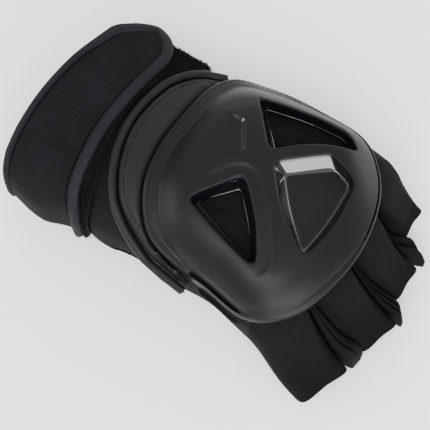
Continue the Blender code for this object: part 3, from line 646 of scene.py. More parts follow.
ribs_here = add_node(tree, "ShaderNodeAttribute", {"attribute_name": "ribs"})
relief = add_node(tree, "ShaderNodeMath", {"operation": "MULTIPLY_ADD"},
                  {0: etch.outputs["Fac"], 2: ribs_here.outputs["Fac"]})
relief.inputs[1].default_value = 0.12
bump = add_node(tree, "ShaderNodeBump", links={"Height": relief.outputs[0]}, Strength=0.8, Distance=0.10 * MM)
tree.links.new(bump.outputs["Normal"], shader.inputs["Normal"])

shell_outline = evenly(smooth_loop(SHELL_OUTLINE, True, 12), 0.9 * MM)
shell_centre = np.array((0.575 * GLOVE_LENGTH, 0.135 * HAND_WIDTH))
arms = shell_outline - shell_centre
order = np.argsort(np.arctan2(arms[:, 1], arms[:, 0]))
rim_turns = np.arctan2(arms[:, 1], arms[:, 0])[order]
rim_reach = np.linalg.norm(arms, axis=1)[order]


def shell_build(points):
    """Thickness of the whole dome, before its recesses are sunk."""
    arm = points - shell_centre
    reach = np.interp(np.arctan2(arm[:, 1], arm[:, 0]), rim_turns, rim_reach, period=2 * math.pi)
    flange = SEWN_FLANGE * (1 - soft_step((points[:, 0] / GLOVE_LENGTH - 0.40) / 0.20)) + SHELL_EDGE / 2
    way = np.clip((reach - np.linalg.norm(arm, axis=1) - flange) / SHELL_SHOULDER, 0, 1)
    return SHELL_EDGE + (SHELL_THICK - SHELL_EDGE) * (1 - (1 - way) ** 2)


# Walls: share of the way to the foot, share of the height left, bead height in millimetres
WINDOW_WALL = (
    (-0.40, 1.0, 0), (-0.27, 0.992, 0), (-0.14, 0.965, 0), (-0.03, 0.905, 0), (0.08, 0.81, 0),
    (0.24, 0.635, 0), (0.42, 0.44, 0), (0.60, 0.25, 0), (0.74, 0.11, 0), (0.80, 0.05, 0.02),
    (0.85, 0.01, 0.08), (0.89, 0, 0.32), (0.94, 0, 0.45), (1.00, 0, 0.36), (1.04, 0, 0.05),
)
POCKET_WALL = (
    (-0.36, 1.0, 0), (-0.27, 0.993, 0), (-0.19, 0.965, 0), (-0.12, 0.92, 0), (-0.05, 0.855, 0),
    (0.12, 0.69, 0), (0.34, 0.475, 0), (0.58, 0.24, 0), (0.76, 0.07, 0), (0.83, 0.028, 0),
    (0.90, 0.008, 0), (0.97, 0.0, 0),
)
RECESSES = (
    (THUMB_WINDOW, WINDOW_WALL, WINDOW_LIP),
    (LITTLE_WINDOW, WINDOW_WALL, WINDOW_LIP),
    (POCKET, POCKET_WALL, POCKET_FLOOR),
)
rings = [[down_the_wall(shape, step[0]) for step in wall] for shape, wall, _ in RECESSES]
openings = [rings[0][-1], rings[1][-1]]
rim_rings = [evenly(inset(shell_outline, d * MM), 1.0 * MM) for d in RIM_AT[1:]]
panel = evenly(rounded_corners(WRIST_PANEL), 0.8 * MM)
panel_rings = [evenly(inset(panel, d * MM), 0.8 * MM) for d in PANEL_AT]
plan, cells = plan_sheet(shell_outline, sum(rings, []) + rim_rings + panel_rings, openings, SHELL_STEP)
left, floor, bead = np.ones(len(plan)), np.zeros(len(plan)), np.zeros(len(plan))
for nested, (shape, wall, base_floor) in zip(rings, RECESSES):
    near = np.flatnonzero(loop_distance(plan, nested[0]) > -0.01 * MM)
    depth = np.array([loop_distance(plan[near], ring) for ring in nested])
    last = len(wall) - 1
    at = np.clip((depth > 0).sum(axis=0) - 1, 0, last - 1)
    outer, inner = depth[at, np.arange(len(near))], depth[at + 1, np.arange(len(near))]
    way = at + np.clip(outer / (outer - inner + 1e-12), 0, 1)
    way = np.where(depth[last] > 0, last, way)
    steps = np.arange(len(wall))
    left[near] = np.interp(way, steps, [step[1] for step in wall])
    bead[near] = np.interp(way, steps, [step[2] * MM for step in wall])
    floor[near] = base_floor

# Outside form: rolled rim, sewn flange, sunk contour round the thumb window, crowned arms and the panel
edge_in = loop_distance(plan, shell_outline)
share_x = plan[:, 0] / GLOVE_LENGTH
flange_here = 1 - soft_step((share_x - 0.44) / 0.14)
from_centre = unit(plan - shell_centre)
rim_wide = 0.42 + 0.58 * soft_step((0.35 - from_centre[:, 1]) / 0.9)
rolled = np.interp(edge_in / MM / rim_wide, RIM_AT, RIM_ROLL) * MM
sewn = np.interp(edge_in / MM, (0, 0.4, 1.0, 1.8), (-0.9, -0.35, -0.06, 0.0)) * MM
slot = soft_step((share_x - 0.53) / 0.05) * (1 - soft_step((share_x - 0.68) / 0.07)) * (plan[:, 1] < 0)
build = shell_build(plan) + rolled * (1 - flange_here) * (1 - slot) + sewn * flange_here
build -= slot * np.interp(edge_in / MM, RIM_AT, SLOT_DEEP) * MM
thumb_window = down_the_wall(THUMB_WINDOW, 0)
around_window = -loop_distance(plan, thumb_window)
from_window = plan - thumb_window.mean(axis=0)
facing = from_window @ np.array((0.42, 0.90)) / np.linalg.norm(from_window, axis=1)
inner_sides = soft_step((facing + 0.25) / 0.5)
build -= CONTOUR_DEEP * (1 - soft_step((around_window - CONTOUR_OUT) / (1.5 * MM))) * inner_sides
build += RIDGE_HIGH * np.exp(-(((around_window - RIDGE_OUT) / (1.6 * MM)) ** 2)) * inner_sides
in_panel = loop_distance(plan, panel)
far_side = soft_step((plan[:, 1] / HAND_WIDTH - 0.165) / 0.02)
low_line = soft_step((in_panel + 0.3 * MM) / (0.9 * MM))
straight_wall = np.interp(in_panel / MM, PANEL_WALL_AT, PANEL_WALL_SINK)
panel_sink = (low_line + (straight_wall - low_line) * far_side) * soft_step((share_x - 0.390) / 0.055)
build -= PANEL_RECESS * panel_sink
top = floor + (build - floor) * left + bead
shell, used = walled("moulded_guard", on_back(plan, SHELL_LIFT + top) + PLACE,
                     on_back(plan, SHELL_LIFT) + PLACE, cells, moulded, 55)
# Polish in the recess walls but not on the pocket's floor, and ribs pressed into the sewn flange
in_pocket = loop_distance(plan, down_the_wall(POCKET, 0.88))
polish = soft_step((0.90 - left) / 0.22) * (1 - soft_step((in_pocket + 0.2 * MM) / (0.7 * MM)))
panel_wall = soft_step((in_panel + 0.1 * MM) / (0.3 * MM))
panel_wall *= 1 - soft_step((in_panel - 1.5 * MM) / (0.3 * MM))
polish = np.maximum(polish, 0.9 * panel_wall * far_side * soft_step((share_x - 0.440) / 0.012))
ribs = (0.5 + 0.5 * np.cos(edge_in * 2 * math.pi / RIB_PITCH)) * flange_here
ribs *= soft_step((edge_in - 0.6 * MM) / (0.6 * MM)) * (1 - soft_step((edge_in - 5.6 * MM) / (1.2 * MM)))
for name, values in (("polish", polish), ("ribs", ribs)):
    shell.data.attributes.new(name, "FLOAT", "POINT").data.foreach_set(
        "value", np.tile(values, 2)[used].astype(np.float32))
dress(shell, "moulded_shell", "guard_shell")

seam_line = inset(shell_outline, FLANGE_SEAM_IN)
sewn_part = seam_line[:, 0] < 0.50 * GLOVE_LENGTH
turned = np.roll(np.arange(len(seam_line)), -int(np.argmax(~sewn_part)))
seam_line = seam_line[[i for i in turned if sewn_part[i]]]
seam = on_back(seam_line, SHELL_LIFT + shell_build(seam_line) + 0.02 * MM)
stitched("flange_stitches", [seam], "moulded_shell", 2.4 * MM, 1.7 * MM, 0.36 * MM)

# Guard base
# A thin cloth layer glued and sewn under the guard. It shows wrinkled in the two open windows and as a
# narrow ledge along the thumb side.
BASE_LEDGE = 1.8 * MM
BASE_TUCK = 1.0 * MM
BASE_STEP = 1.4 * MM
FOLD_HIGH = 0.75 * MM
base_along = shell_outline[:, 0] / GLOVE_LENGTH
ledge = soft_step((base_along - 0.575) / 0.03) * (1 - soft_step((base_along - 0.70) / 0.06))
ledge = BASE_TUCK - (BASE_LEDGE + BASE_TUCK) * ledge * (shell_outline[:, 1] < 0)
# Matt stretch cloth: warp-knit polyamide with a brushed face, so it has almost no gloss. The yarn rows are
# drawn at 0.8 mm, coarser than the real 0.4 mm.
stretch_cloth, tree, shader = new_material("matt_stretch_cloth", "#0b0b0c", 0.90, 0.08)
cloth_face(tree, shader, 0.8 * MM, 0.06 * MM, "#090909", "#121214")
base_outline = evenly(inset(shell_outline, ledge), BASE_STEP)
plan, cells = plan_sheet(base_outline, [], [], BASE_STEP)
spots = np.column_stack([plan, plan[:, 0] * 0])
shown = np.zeros(len(plan))
for opening in openings:
    shown = np.maximum(shown, soft_step((loop_distance(plan, opening) + 1 * MM) / (2.5 * MM)))
creased = 1 - 2 * np.abs(cloth_noise(spots * (1.0, 1.7, 1.0), 9 * MM, 3))
folds = 1.1 * creased + cloth_noise(spots, 5 * MM, 4) + 0.5 * cloth_noise(spots, 2.4 * MM, 5)
upper = on_back(plan, CLOTH_CLEAR + BASE_THICK)
upper[:, 2] += folds * FOLD_HIGH * shown + 0.2 * MM * shown
base, used = walled("guard_lining", upper + PLACE, on_back(plan, CLOTH_CLEAR) + PLACE, cells, stretch_cloth)
lay_uv(base, np.tile(plan, (2, 1))[used])
dress(base, "stretch_cloth", "guard_base")

# Cuff pad
# A foam crescent under smooth synthetic leather, sewn to the guard's flange and edged with piping.
PAD_THICK = 3.4 * MM
PIPING_WIDE = 4.2 * MM
SEAM_IN = 5.2 * MM
GROOVE_DEEP = 0.75 * MM
PAD_FRONT = 0.572
CUFF_LINE = (
    (0.320, 0.470), (0.265, 0.405), (0.230, 0.300), (0.217, 0.189), (0.217, 0.047),
    (0.235, -0.080), (0.268, -0.195), (0.314, -0.292), (0.368, -0.347), (0.430, -0.377),
    (0.500, -0.390), (0.566, -0.393),
)
# Smooth synthetic leather: polyurethane coat rolled with a fine hair-cell grain of about 0.9 mm, low sheen
leather, tree, shader = new_material("smooth_synthetic_leather", "#0e0e10", 0.50, 0.18)
coords = add_node(tree, "ShaderNodeTexCoord").outputs["Object"]
cells_of_grain = add_node(tree, "ShaderNodeTexVoronoi", {"feature": "DISTANCE_TO_EDGE"}, {"Vector": coords},
                          Scale=1 / (0.9 * MM))
soft_grain = add_node(tree, "ShaderNodeMapRange", links={"Value": cells_of_grain.outputs["Distance"]},
                      From_Max=0.12)
bump = add_node(tree, "ShaderNodeBump", links={"Height": soft_grain.outputs[0]}, Strength=0.6,
                Distance=0.03 * MM)
tree.links.new(bump.outputs["Normal"], shader.inputs["Normal"])
handling = add_node(tree, "ShaderNodeTexNoise", links={"Vector": coords}, Scale=1 / (14 * MM), Detail=4.0)
gloss = add_node(tree, "ShaderNodeMapRange", links={"Value": handling.outputs["Fac"]}, To_Min=0.40,
                 To_Max=0.62)
tree.links.new(gloss.outputs[0], shader.inputs["Roughness"])
tones = add_node(tree, "ShaderNodeValToRGB", links={"Fac": handling.outputs["Fac"]})
for tone, colour in zip(tones.color_ramp.elements, ("#0a0a0c", "#131316")):
    tone.color = linear(colour)
tree.links.new(tones.outputs["Color"], shader.inputs["Base Color"])
cuff_line = evenly(smooth_loop(CUFF_LINE, False, 12), 1.0 * MM, closed=False)
pad_outer = inset(cuff_line, PIPING_WIDE / 2 + CLEAR, closed=False)
pad_outer = pad_outer[(pad_outer[:, 0] < PAD_FRONT * GLOVE_LENGTH)
                      & (np.abs(loop_distance(pad_outer, shell_outline)) > PIPING_WIDE / 3)]
seam_run = inset(shell_outline, -CLOTH_CLEAR)
turned = np.roll(seam_run, -int(np.argmax(seam_run[:, 1])), axis=0)
seam_run = turned[(turned[:, 0] < PAD_FRONT * GLOVE_LENGTH) & (turned[:, 1] < 0.44 * HAND_WIDTH)]
pad_outline = evenly(np.concatenate([pad_outer, seam_run[::-1]]), 1.0 * MM)
pad_next = np.roll(pad_outline, -1, axis=0)
if np.sum(pad_outline[:, 0] * pad_next[:, 1] - pad_next[:, 0] * pad_outline[:, 1]) < 0:
    pad_outline = pad_outline[::-1]
plan, cells = plan_sheet(pad_outline, [], [], 1.0 * MM)
edge_in = loop_distance(plan, pad_outline)
from_piping = np.abs(loop_distance(plan, np.concatenate([cuff_line, cuff_line[::-1]])))
spots = np.column_stack([plan, 0 * plan[:, 0]])
crown = 0.70 + 0.30 * soft_step(edge_in / (3.2 * MM)) - 0.22 * (1 - np.clip(edge_in / (0.8 * MM), 0, 1)) ** 2
off_guard = soft_step((-loop_distance(plan, shell_outline) - 1.2 * MM) / (2.0 * MM))
groove = np.exp(-((from_piping - SEAM_IN) / (0.75 * MM)) ** 2) * GROOVE_DEEP * off_guard
groove -= cloth_noise(spots, 16 * MM, 21) * 0.25 * MM + cloth_noise(spots, 5 * MM, 22) * 0.07 * MM
pad, _ = walled("cuff_crescent", on_back(plan, CLOTH_CLEAR + PAD_THICK * crown - groove) + PLACE,
                on_back(plan, CLOTH_CLEAR) + PLACE, cells, leather)
dress(pad, "synthetic_leather", "cuff_pad")
seam_line = inset(cuff_line, SEAM_IN, closed=False)[3:-9]
seam_line = seam_line[loop_distance(seam_line, shell_outline) < -2.6 * MM]
seam = on_back(seam_line, CLOTH_CLEAR + PAD_THICK * 0.97 - GROOVE_DEEP)
stitched("cuff_stitches", [seam], "synthetic_leather", 2.6 * MM, 1.9 * MM, 0.5 * MM)


# Cuff piping
# A cord rolled in a strip of the same leather and sewn along the crescent's outer edge.
def tube_along(name, path, normals, half_wide, half_high, shader, around=24, flat=1.0):
    """Rounded tube along a path of points, with closed ends; flat under 1 squares its section."""
    run = np.gradient(path, axis=0)
    run = unit(run)
    up = normals - run * np.sum(normals * run, axis=1, keepdims=True)
    up = unit(up)
    side = np.cross(run, up)
    turns = 2 * math.pi * np.arange(around) / around
    wide = np.broadcast_to(half_wide, len(path))[:, None, None]
    high = np.broadcast_to(half_high, len(path))[:, None, None]
    c, s = [np.copysign(np.abs(f(turns)) ** flat, f(turns)) for f in (np.cos, np.sin)]
    rings = path[:, None] + side[:, None] * wide * c[None, :, None]
    rings = rings + up[:, None] * high * s[None, :, None]
    points = rings.reshape(-1, 3)
    rows = len(path)
    faces = [tuple(c) for c in tube_cells(rows, around)]
    points = np.concatenate([points, [rings[0].mean(axis=0) - run[0] * half_size(half_high, 0) * 0.5],
                             [rings[-1].mean(axis=0) + run[-1] * half_size(half_high, -1) * 0.5]])
    first, last = rows * around, rows * around + 1
    faces += [((k + 1) % around, k, first) for k in range(around)]
    end = (rows - 1) * around
    faces += [(end + k, end + (k + 1) % around, last) for k in range(around)]
    piece, _ = mesh_of(name, points, faces, shader)
    along = np.concatenate([[0], np.cumsum(np.linalg.norm(np.diff(path, axis=0), axis=1))])
    arc = 2 * math.pi * half_size(half_wide, 0)
    u, v = np.meshgrid(along, arc * np.arange(around) / around, indexing="ij")
    uv = np.concatenate([np.stack([u, v], axis=-1).reshape(-1, 2), [(0, 0), (along[-1], 0)]])
    lay_uv(piece, uv, arc)
    return piece


def half_size(size, at):
    """One value of a size that may change along a path."""
    return float(np.ravel(size)[at])


def surface_normals(path, off):
    """Straight-out directions of the back of the hand along a path of plan points."""
    heights = [back_height(path[:, 0] + dx, path[:, 1] + dy, off) for dx, dy in ((0, 0), (MM, 0), (0, MM))]
    slope_x = (heights[1] - heights[0]) / MM
    slope_y = (heights[2] - heights[0]) / MM
    normals = np.column_stack([-slope_x, -slope_y, np.ones(len(path))])
    return heights[0], unit(normals)


piping_off = CLOTH_CLEAR + PIPING_WIDE / 2
heights, normals = surface_normals(cuff_line, piping_off)
piping_path = np.column_stack([cuff_line, heights])
pinch = 1 + 0.05 * cloth_noise(piping_path, 2.6 * MM, 31) + 0.03 * cloth_noise(piping_path, 9 * MM, 32)
piping = tube_along("cuff_bead", piping_path + PLACE, normals, PIPING_WIDE / 2 * pinch, PIPING_WIDE / 2,
                    leather)
dress(piping, "synthetic_leather", "cuff_piping")

# Loop band
# A ring of loop pile sewn round the wrist, which the strap grips.
BAND_CLEAR = 1.2 * MM
LOOP_THICK = 2.0 * MM
LOOP_BULGE = 2.2 * MM
PILE_TUFT = 0.9 * MM
BAND_SLICES = 240
WRIST_RADIUS = 31 * MM
LOOP_EDGES = np.array((
    # turn, rear edge, front edge, bulge
    (0.0, 0.040, 0.262, 1.0),
    (35.0, 0.040, 0.252, 1.0),
    (60.0, 0.040, 0.212, 0.2),
    (90.0, 0.040, 0.201, 0.0),
    (105.0, 0.042, 0.216, 0.0),
    (120.0, 0.045, 0.237, 0.0),
    (145.0, 0.055, 0.268, 0.0),
    (180.0, 0.080, 0.288, 0.0),
    (205.0, 0.080, 0.276, 0.0),
    (240.0, 0.055, 0.242, 0.0),
    (270.0, 0.050, 0.222, 0.0),
    (330.0, 0.045, 0.250, 0.4),
    (360.0, 0.040, 0.262, 1.0),
))


def loop_lift(degrees):
    """Height of the pile surface above the sleeve."""
    return BAND_CLEAR + LOOP_THICK + LOOP_BULGE * column(LOOP_EDGES, 3, degrees)


def wrapped_band(name, degrees, rear, front, low, high, around_round, shader, closed, ripple=0.0, parts=56):
    """Flat band with rounded edges that follows the wrist; the arrays give each slice."""
    share = np.linspace(0, 1, parts)
    rounding = np.sqrt(np.clip(1 - (np.abs(2 * share - 1)) ** around_round, 0, 1))
    turns = np.radians(degrees)[:, None]
    x = rear[:, None] + (front - rear)[:, None] * share[None, :]
    middle = ((low + high) / 2)[:, None]
    half = ((high - low) / 2)[:, None] * rounding[None, :]
    spots = hand_point(x, turns)
    wave = 0.6 + cloth_noise(spots, 13 * MM, 41) + 0.5 * cloth_noise(spots, 5 * MM, 42)
    wave = ripple * wave * rounding ** 2
    upper = hand_point(x, turns, middle + half + wave)
    lower = hand_point(x, turns, middle - half)[:, ::-1]
    rings = np.concatenate([upper, lower[:, 1:-1]], axis=1)
    rows, around = rings.shape[:2]
    cells = tube_cells(rows + (1 if closed else 0), around) % (rows * around)
    faces = [tuple(c) for c in cells]
    points = rings.reshape(-1, 3)
    if not closed:
        for row, flip in ((0, 1), (rows - 1, -1)):
            start, centre = row * around, len(points)
            points = np.concatenate([points, [rings[row].mean(axis=0)]])
            faces += [(start + k, start + (k + 1) % around, centre)[::-flip] for k in range(around)]
    piece, _ = mesh_of(name, points + PLACE, faces, shader)
    around_way = (np.radians(degrees) * WRIST_RADIUS)[:, None] + 0 * rings[..., 0]
    uv = np.stack([around_way, rings[..., 0]], axis=-1).reshape(-1, 2)
    lay_uv(piece, np.concatenate([uv, np.zeros((len(points) - len(uv), 2))]))
    return piece


# Loop pile: brushed polyamide loops knitted on a thin ground, deep black with a frosted edge against light
pile, tree, shader = new_material("loop_pile_fabric", "#09090b", 0.95, 0.12)
shader.inputs["Sheen Weight"].default_value = 0.03
shader.inputs["Sheen Roughness"].default_value = 0.5
coords = add_node(tree, "ShaderNodeTexCoord").outputs["Object"]
tufts = add_node(tree, "ShaderNodeTexNoise", links={"Vector": coords}, Scale=1 / (1.1 * MM), Detail=4.0)
tones = add_node(tree, "ShaderNodeValToRGB", links={"Fac": tufts.outputs["Fac"]})
for tone, place, colour in zip(tones.color_ramp.elements, (0.3, 0.75), ("#050506", "#141417")):
    tone.position, tone.color = place, linear(colour)
tree.links.new(tones.outputs["Color"], shader.inputs["Base Color"])
bump = add_node(tree, "ShaderNodeBump", links={"Height": tufts.outputs["Fac"]}, Strength=1.0,
                Distance=0.5 * MM)
tree.links.new(bump.outputs["Normal"], shader.inputs["Normal"])


def pile_lift(degrees):
    """Height of the pile's ground, below the ends of its loops."""
    return loop_lift(degrees) - PILE_TUFT - 0.9 * MM * column(LOOP_EDGES, 3, degrees)


degrees = np.linspace(0, 360, BAND_SLICES + 1)[:-1]
loop_band = wrapped_band(
    "loop_pile_band", degrees, column(LOOP_EDGES, 1, degrees) * GLOVE_LENGTH,
    column(LOOP_EDGES, 2, degrees) * GLOVE_LENGTH - 0.6 * MM, np.full(BAND_SLICES, BAND_CLEAR - 0.6 * MM),
    pile_lift(degrees), 12, pile, True)
dress(loop_band, "loop_pile", "loop_band")

# Wrist strap
# A flat strap of knit-faced neoprene that closes over the back with a rounded tongue. Its edge is bound
# all round, a seam crosses it, and it is sewn down under the palm.
STRAP_START = 26.0
STRAP_END = 330.0
TONGUE_ROUND = 28.0
ARC_DEGREE = 0.64 * MM
STRAP_THICK = 3.0 * MM
BINDING_THICK = 4.2 * MM
TONGUE_CUT = 0.100
CUT_SLANT = 0.0032
FRONT_POWER = 1.6
TAPE_WIDE = 5.4 * MM
TAPE_REAR = 3.2 * MM
CROSS_TURNS = (124.6, 116.0)
STRAP_EDGES = np.array((
    # turn, rear edge, front edge as shares of length
    (26.0, 0.018, 0.199),
    (60.0, 0.016, 0.195),
    (90.0, -0.001, 0.193),
    (120.0, 0.008, 0.215),
    (145.0, 0.022, 0.234),
    (180.0, 0.044, 0.266),
    (205.0, 0.044, 0.258),
    (240.0, 0.022, 0.224),
    (270.0, 0.014, 0.210),
    (330.0, 0.012, 0.200),
))
# Outline of the unrolled strap, from the front edge's sewn end round the tongue to the rear edge's. The
# tongue is cut slantwise at the rear and rounded in front.
turns = STRAP_START + (STRAP_END - STRAP_START) * np.linspace(0, 1, 500) ** 2
rear = column(STRAP_EDGES, 1, turns) * GLOVE_LENGTH
slant = (TONGUE_CUT - CUT_SLANT * (turns - STRAP_START)) * GLOVE_LENGTH
rear = (rear + slant + np.hypot(rear - slant, 1.5 * MM)) / 2
way = np.clip((turns - STRAP_START) / TONGUE_ROUND, 0.0, 1.0)
front = column(STRAP_EDGES, 2, turns) * GLOVE_LENGTH - rear[0]
front = rear[0] + front * (1 - (1 - way) ** FRONT_POWER) ** (1 / FRONT_POWER)
strap_line = np.concatenate([
    np.column_stack([turns * ARC_DEGREE, front])[::-1], np.column_stack([turns * ARC_DEGREE, rear])[1:]])
strap_line = evenly(strap_line, 0.8 * MM, closed=False)


def eased(line, times):
    """Ease the corners of an open line, in place."""
    for _ in range(times):
        line[1:-1] = (line[:-2] + 2 * line[1:-1] + line[2:]) / 4


eased(strap_line, 8)
tongue_at = int(strap_line[:, 0].argmin())


def drawn_in(rear_in, front_in):
    """The strap's outline drawn in, by amounts that change over from one edge to the other at the tongue."""
    blend = soft_step((np.arange(len(strap_line)) - tongue_at + 12) / 24)
    amount = front_in + (rear_in - front_in) * blend
    moved = inset(strap_line, amount, closed=False)
    gaps = np.linalg.norm(moved[:, None] - strap_line[None], axis=2).min(axis=1)
    return moved[gaps > 0.97 * amount]


def strap_edges(degrees, line):
    """Rear and front edge of the strap at each turn, from its outline."""
    tip = int(line[:, 0].argmin())
    at = np.asarray(degrees) * ARC_DEGREE
    return (np.interp(at, line[tip:, 0], line[tip:, 1]),
            np.interp(at, line[:tip + 1, 0][::-1], line[:tip + 1, 1][::-1]))


def tape_wide(degrees):
    """Width of the binding at the rear edge, narrower away from the tongue."""
    return TAPE_WIDE + (TAPE_REAR - TAPE_WIDE) * soft_step((degrees - 50) / 35)


line_turns = strap_line[:, 0] / ARC_DEGREE
body_line = drawn_in(tape_wide(line_turns) - 0.2 * MM, TAPE_WIDE - 0.2 * MM)
body_start = body_line[:, 0].min() / ARC_DEGREE
degrees = body_start + (STRAP_END - body_start) * np.linspace(0, 1, 320) ** 1.5
rear, front = strap_edges(np.maximum(degrees, body_start + 0.12), body_line)
low = loop_lift(degrees) + CLOTH_CLEAR
strap = wrapped_band("strap_cloth", degrees, rear, front, low, low + STRAP_THICK, 30, neoprene, False,
                     0.22 * MM)
dress(strap, "neoprene", "wrist_strap")
way = np.linspace(0, 1, 30)
turns = CROSS_TURNS[0] + (CROSS_TURNS[1] - CROSS_TURNS[0]) * way
rear, front = strap_edges(turns, strap_line)
cross_x = rear + (front - rear) * (0.12 + 0.71 * way)
seam = hand_point(cross_x, np.radians(turns), loop_lift(turns) + CLOTH_CLEAR + STRAP_THICK + 0.35 * MM)
stitched("strap_cross_stitches", [seam], "neoprene", 2.6 * MM, 2.0 * MM, 0.7 * MM)

# Strap binding
# A folded tape over the strap's edge, stitched through along its inner side. It stands proud of the strap
# like a flat hem.
# Folded binding tape: plain-woven elastic polyamide, a little smoother and paler than the knit
binding_cloth, tree, shader = new_material("folded_binding_tape", "#111114", 0.70, 0.15)
cloth_face(tree, shader, 0.7 * MM, 0.05 * MM, "#0c0c0f", "#17171b")
half_wide = np.where(np.arange(len(strap_line)) > tongue_at, tape_wide(line_turns) / 2, TAPE_WIDE / 2)
binding_line = inset(strap_line, half_wide, closed=False)
eased(binding_line, 4)
off = loop_lift(binding_line[:, 0] / ARC_DEGREE) + CLOTH_CLEAR + BINDING_THICK / 2
turns, x = np.radians(binding_line[:, 0] / ARC_DEGREE), binding_line[:, 1]
path = hand_point(x, turns, off)
along = hand_point(x + MM, turns, off) - hand_point(x - MM, turns, off)
around = hand_point(x, turns + 0.02, off) - hand_point(x, turns - 0.02, off)
normals = np.cross(around, along)
normals = unit(normals)
puckers = 1 + 0.035 * cloth_noise(path, 3.0 * MM, 51)
binding = tube_along("binding_tape", path + PLACE, normals, half_wide, BINDING_THICK / 2 * puckers,
                     binding_cloth, 32, 0.62)
dress(binding, "bound_edge", "strap_binding")
run = np.gradient(path, axis=0)
run = unit(run)
side = np.cross(run, normals)
inward = side if np.dot(side[-60], path[60] - path[-60]) > 0 else -side
sewn_path = path + inward * (half_wide * 0.64)[:, None] + normals * (BINDING_THICK / 2 * 0.93 + 0.02 * MM)
stitched("binding_stitches", [sewn_path[4:-4]], "bound_edge", 2.9 * MM, 2.2 * MM, 0.45 * MM)

# Loop pile tufts
# The band's free surface is a thicket of fine polyamide loops. They stand up all over it where the strap
# leaves it bare, most of all beside the tongue.
TUFTS = 6500
TUFT_THREAD = 0.075 * MM
turns, share = np.meshgrid(np.arange(0.0, 361.0, 2.0), np.linspace(0.0, 1.0, 25), indexing="ij")
rear = column(LOOP_EDGES, 1, turns) * GLOVE_LENGTH + 0.4 * MM
front = column(LOOP_EDGES, 2, turns) * GLOVE_LENGTH - 0.2 * MM
x = rear + (front - 0.6 * MM - rear) * share
strap_rear, strap_front = strap_edges(turns, strap_line)
covered = (turns > STRAP_START + 1) & (turns < STRAP_END) & (x > strap_rear) & (x < strap_front + 0.4 * MM)
bare = ~covered & (np.sin(np.radians(turns)) > -0.88)
carrier_points = hand_point(x, np.radians(turns), pile_lift(turns) - 0.1 * MM - (share > 0.98) * 0.5 * MM)
rows, wide = turns.shape
i, k = np.meshgrid(np.arange(rows - 1), np.arange(wide - 1), indexing="ij")
corner = i * wide + k
quads = np.stack([corner, corner + wide, corner + wide + 1, corner + 1], axis=-1).reshape(-1, 4)
quads = quads[bare.ravel()[quads].all(axis=1)]
tufts_piece, _ = mesh_of("pile_tufts", carrier_points.reshape(-1, 3) + PLACE, [tuple(q) for q in quads], pile)
carrier = tufts_piece.data
if sum(p.normal.z * p.area for p in carrier.polygons) < 0:
    carrier.flip_normals()
bare_area = sum(p.area for p in carrier.polygons)
tuft_tree, start, end = new_geometry_tree("pile_loops", ("Density", "Thread"))
scattered = add_node(tuft_tree, "GeometryNodeDistributePointsOnFaces", {"distribute_method": "RANDOM"},
                     {"Mesh": start.outputs["Geometry"], "Density": start.outputs["Density"]}, Seed=7)
loop = add_node(tuft_tree, "GeometryNodeCurveQuadraticBezier", Resolution=4, Start=(-0.0004, 0, 0),
                Middle=(0.0002, 0.0003, 0.0038), End=(0.0005, 0.0002, 0.0002))
round_thread = add_node(tuft_tree, "GeometryNodeCurvePrimitiveCircle",
                        links={"Radius": start.outputs["Thread"]}, Resolution=3)
loop_mesh = add_node(tuft_tree, "GeometryNodeCurveToMesh", links={
    "Curve": loop.outputs["Curve"], "Profile Curve": round_thread.outputs["Curve"]})
spin = add_node(tuft_tree, "FunctionNodeRandomValue", {"data_type": "FLOAT_VECTOR"}, Min=(0, 0, -3.14),
                Max=(0, 0, 3.14), Seed=3)
lean = add_node(tuft_tree, "FunctionNodeRandomValue", {"data_type": "FLOAT_VECTOR"}, Min=(-0.6, -0.6, -0.6),
                Max=(0.6, 0.6, 0.6), Seed=4)
heading = add_node(tuft_tree, "ShaderNodeVectorMath", {"operation": "ADD"},
                   {0: scattered.outputs["Normal"], 1: lean.outputs["Value"]})
upright = add_node(tuft_tree, "FunctionNodeAlignRotationToVector", {"axis": "Z"},
                   {"Rotation": spin.outputs["Value"], "Vector": heading.outputs["Vector"]})
uneven = add_node(tuft_tree, "FunctionNodeRandomValue", {"data_type": "FLOAT"}, Seed=5)
uneven.inputs[2].default_value = 0.45
uneven.inputs[3].default_value = 1.30
laid = add_node(tuft_tree, "GeometryNodeInstanceOnPoints", links={
    "Points": scattered.outputs["Points"], "Instance": loop_mesh.outputs["Mesh"],
    "Rotation": upright.outputs["Rotation"], "Scale": uneven.outputs[1]})
real = add_node(tuft_tree, "GeometryNodeRealizeInstances", links={"Geometry": laid.outputs["Instances"]})
piled = add_node(tuft_tree, "GeometryNodeSetMaterial", links={"Geometry": real.outputs["Geometry"]},
                 Material=pile)
tuft_tree.links.new(piled.outputs["Geometry"], end.inputs["Geometry"])
grown(tufts_piece, tuft_tree, {"Density": TUFTS / bare_area, "Thread": TUFT_THREAD})
dress(tufts_piece, "loop_pile")

# Fingers
# Four short tubes of stretch cloth, open at their ends. Each has a raised back panel with a hemmed end,
# and droops to the surface because no finger fills it.
FINGER_WALL = 1.6 * MM
FINGERS = (
    # name, base low, base high, tip along, tip across, tip half width, tip half height, turn
    ("finger_index", -0.349, -0.091, 0.949, -0.304, 0.125, 0.150, 15.0),
    ("finger_middle", -0.088, 0.164, 0.980, 0.010, 0.103, 0.150, 11.0),
    ("finger_ring", 0.167, 0.404, 0.950, 0.268, 0.092, 0.148, -5.0),
    ("finger_little", 0.407, 0.639, 0.872, 0.507, 0.093, 0.140, -6.0),
)
FINGER_FALL = np.array((
    # way, blend to tip shape, bottom as share of height, droop in degrees
    (0.00, 0.00, 0.000, 0.0),
    (0.25, 0.22, 0.004, 14.0),
    (0.50, 0.52, 0.012, 24.0),
    (0.75, 0.80, 0.035, 31.0),
    (1.00, 1.00, 0.075, 34.0),
))
FINGER_AROUND = 150
FINGER_ROWS = 64
PANEL_SHARE = 0.76
PANEL_MARGIN = 5.0 * MM
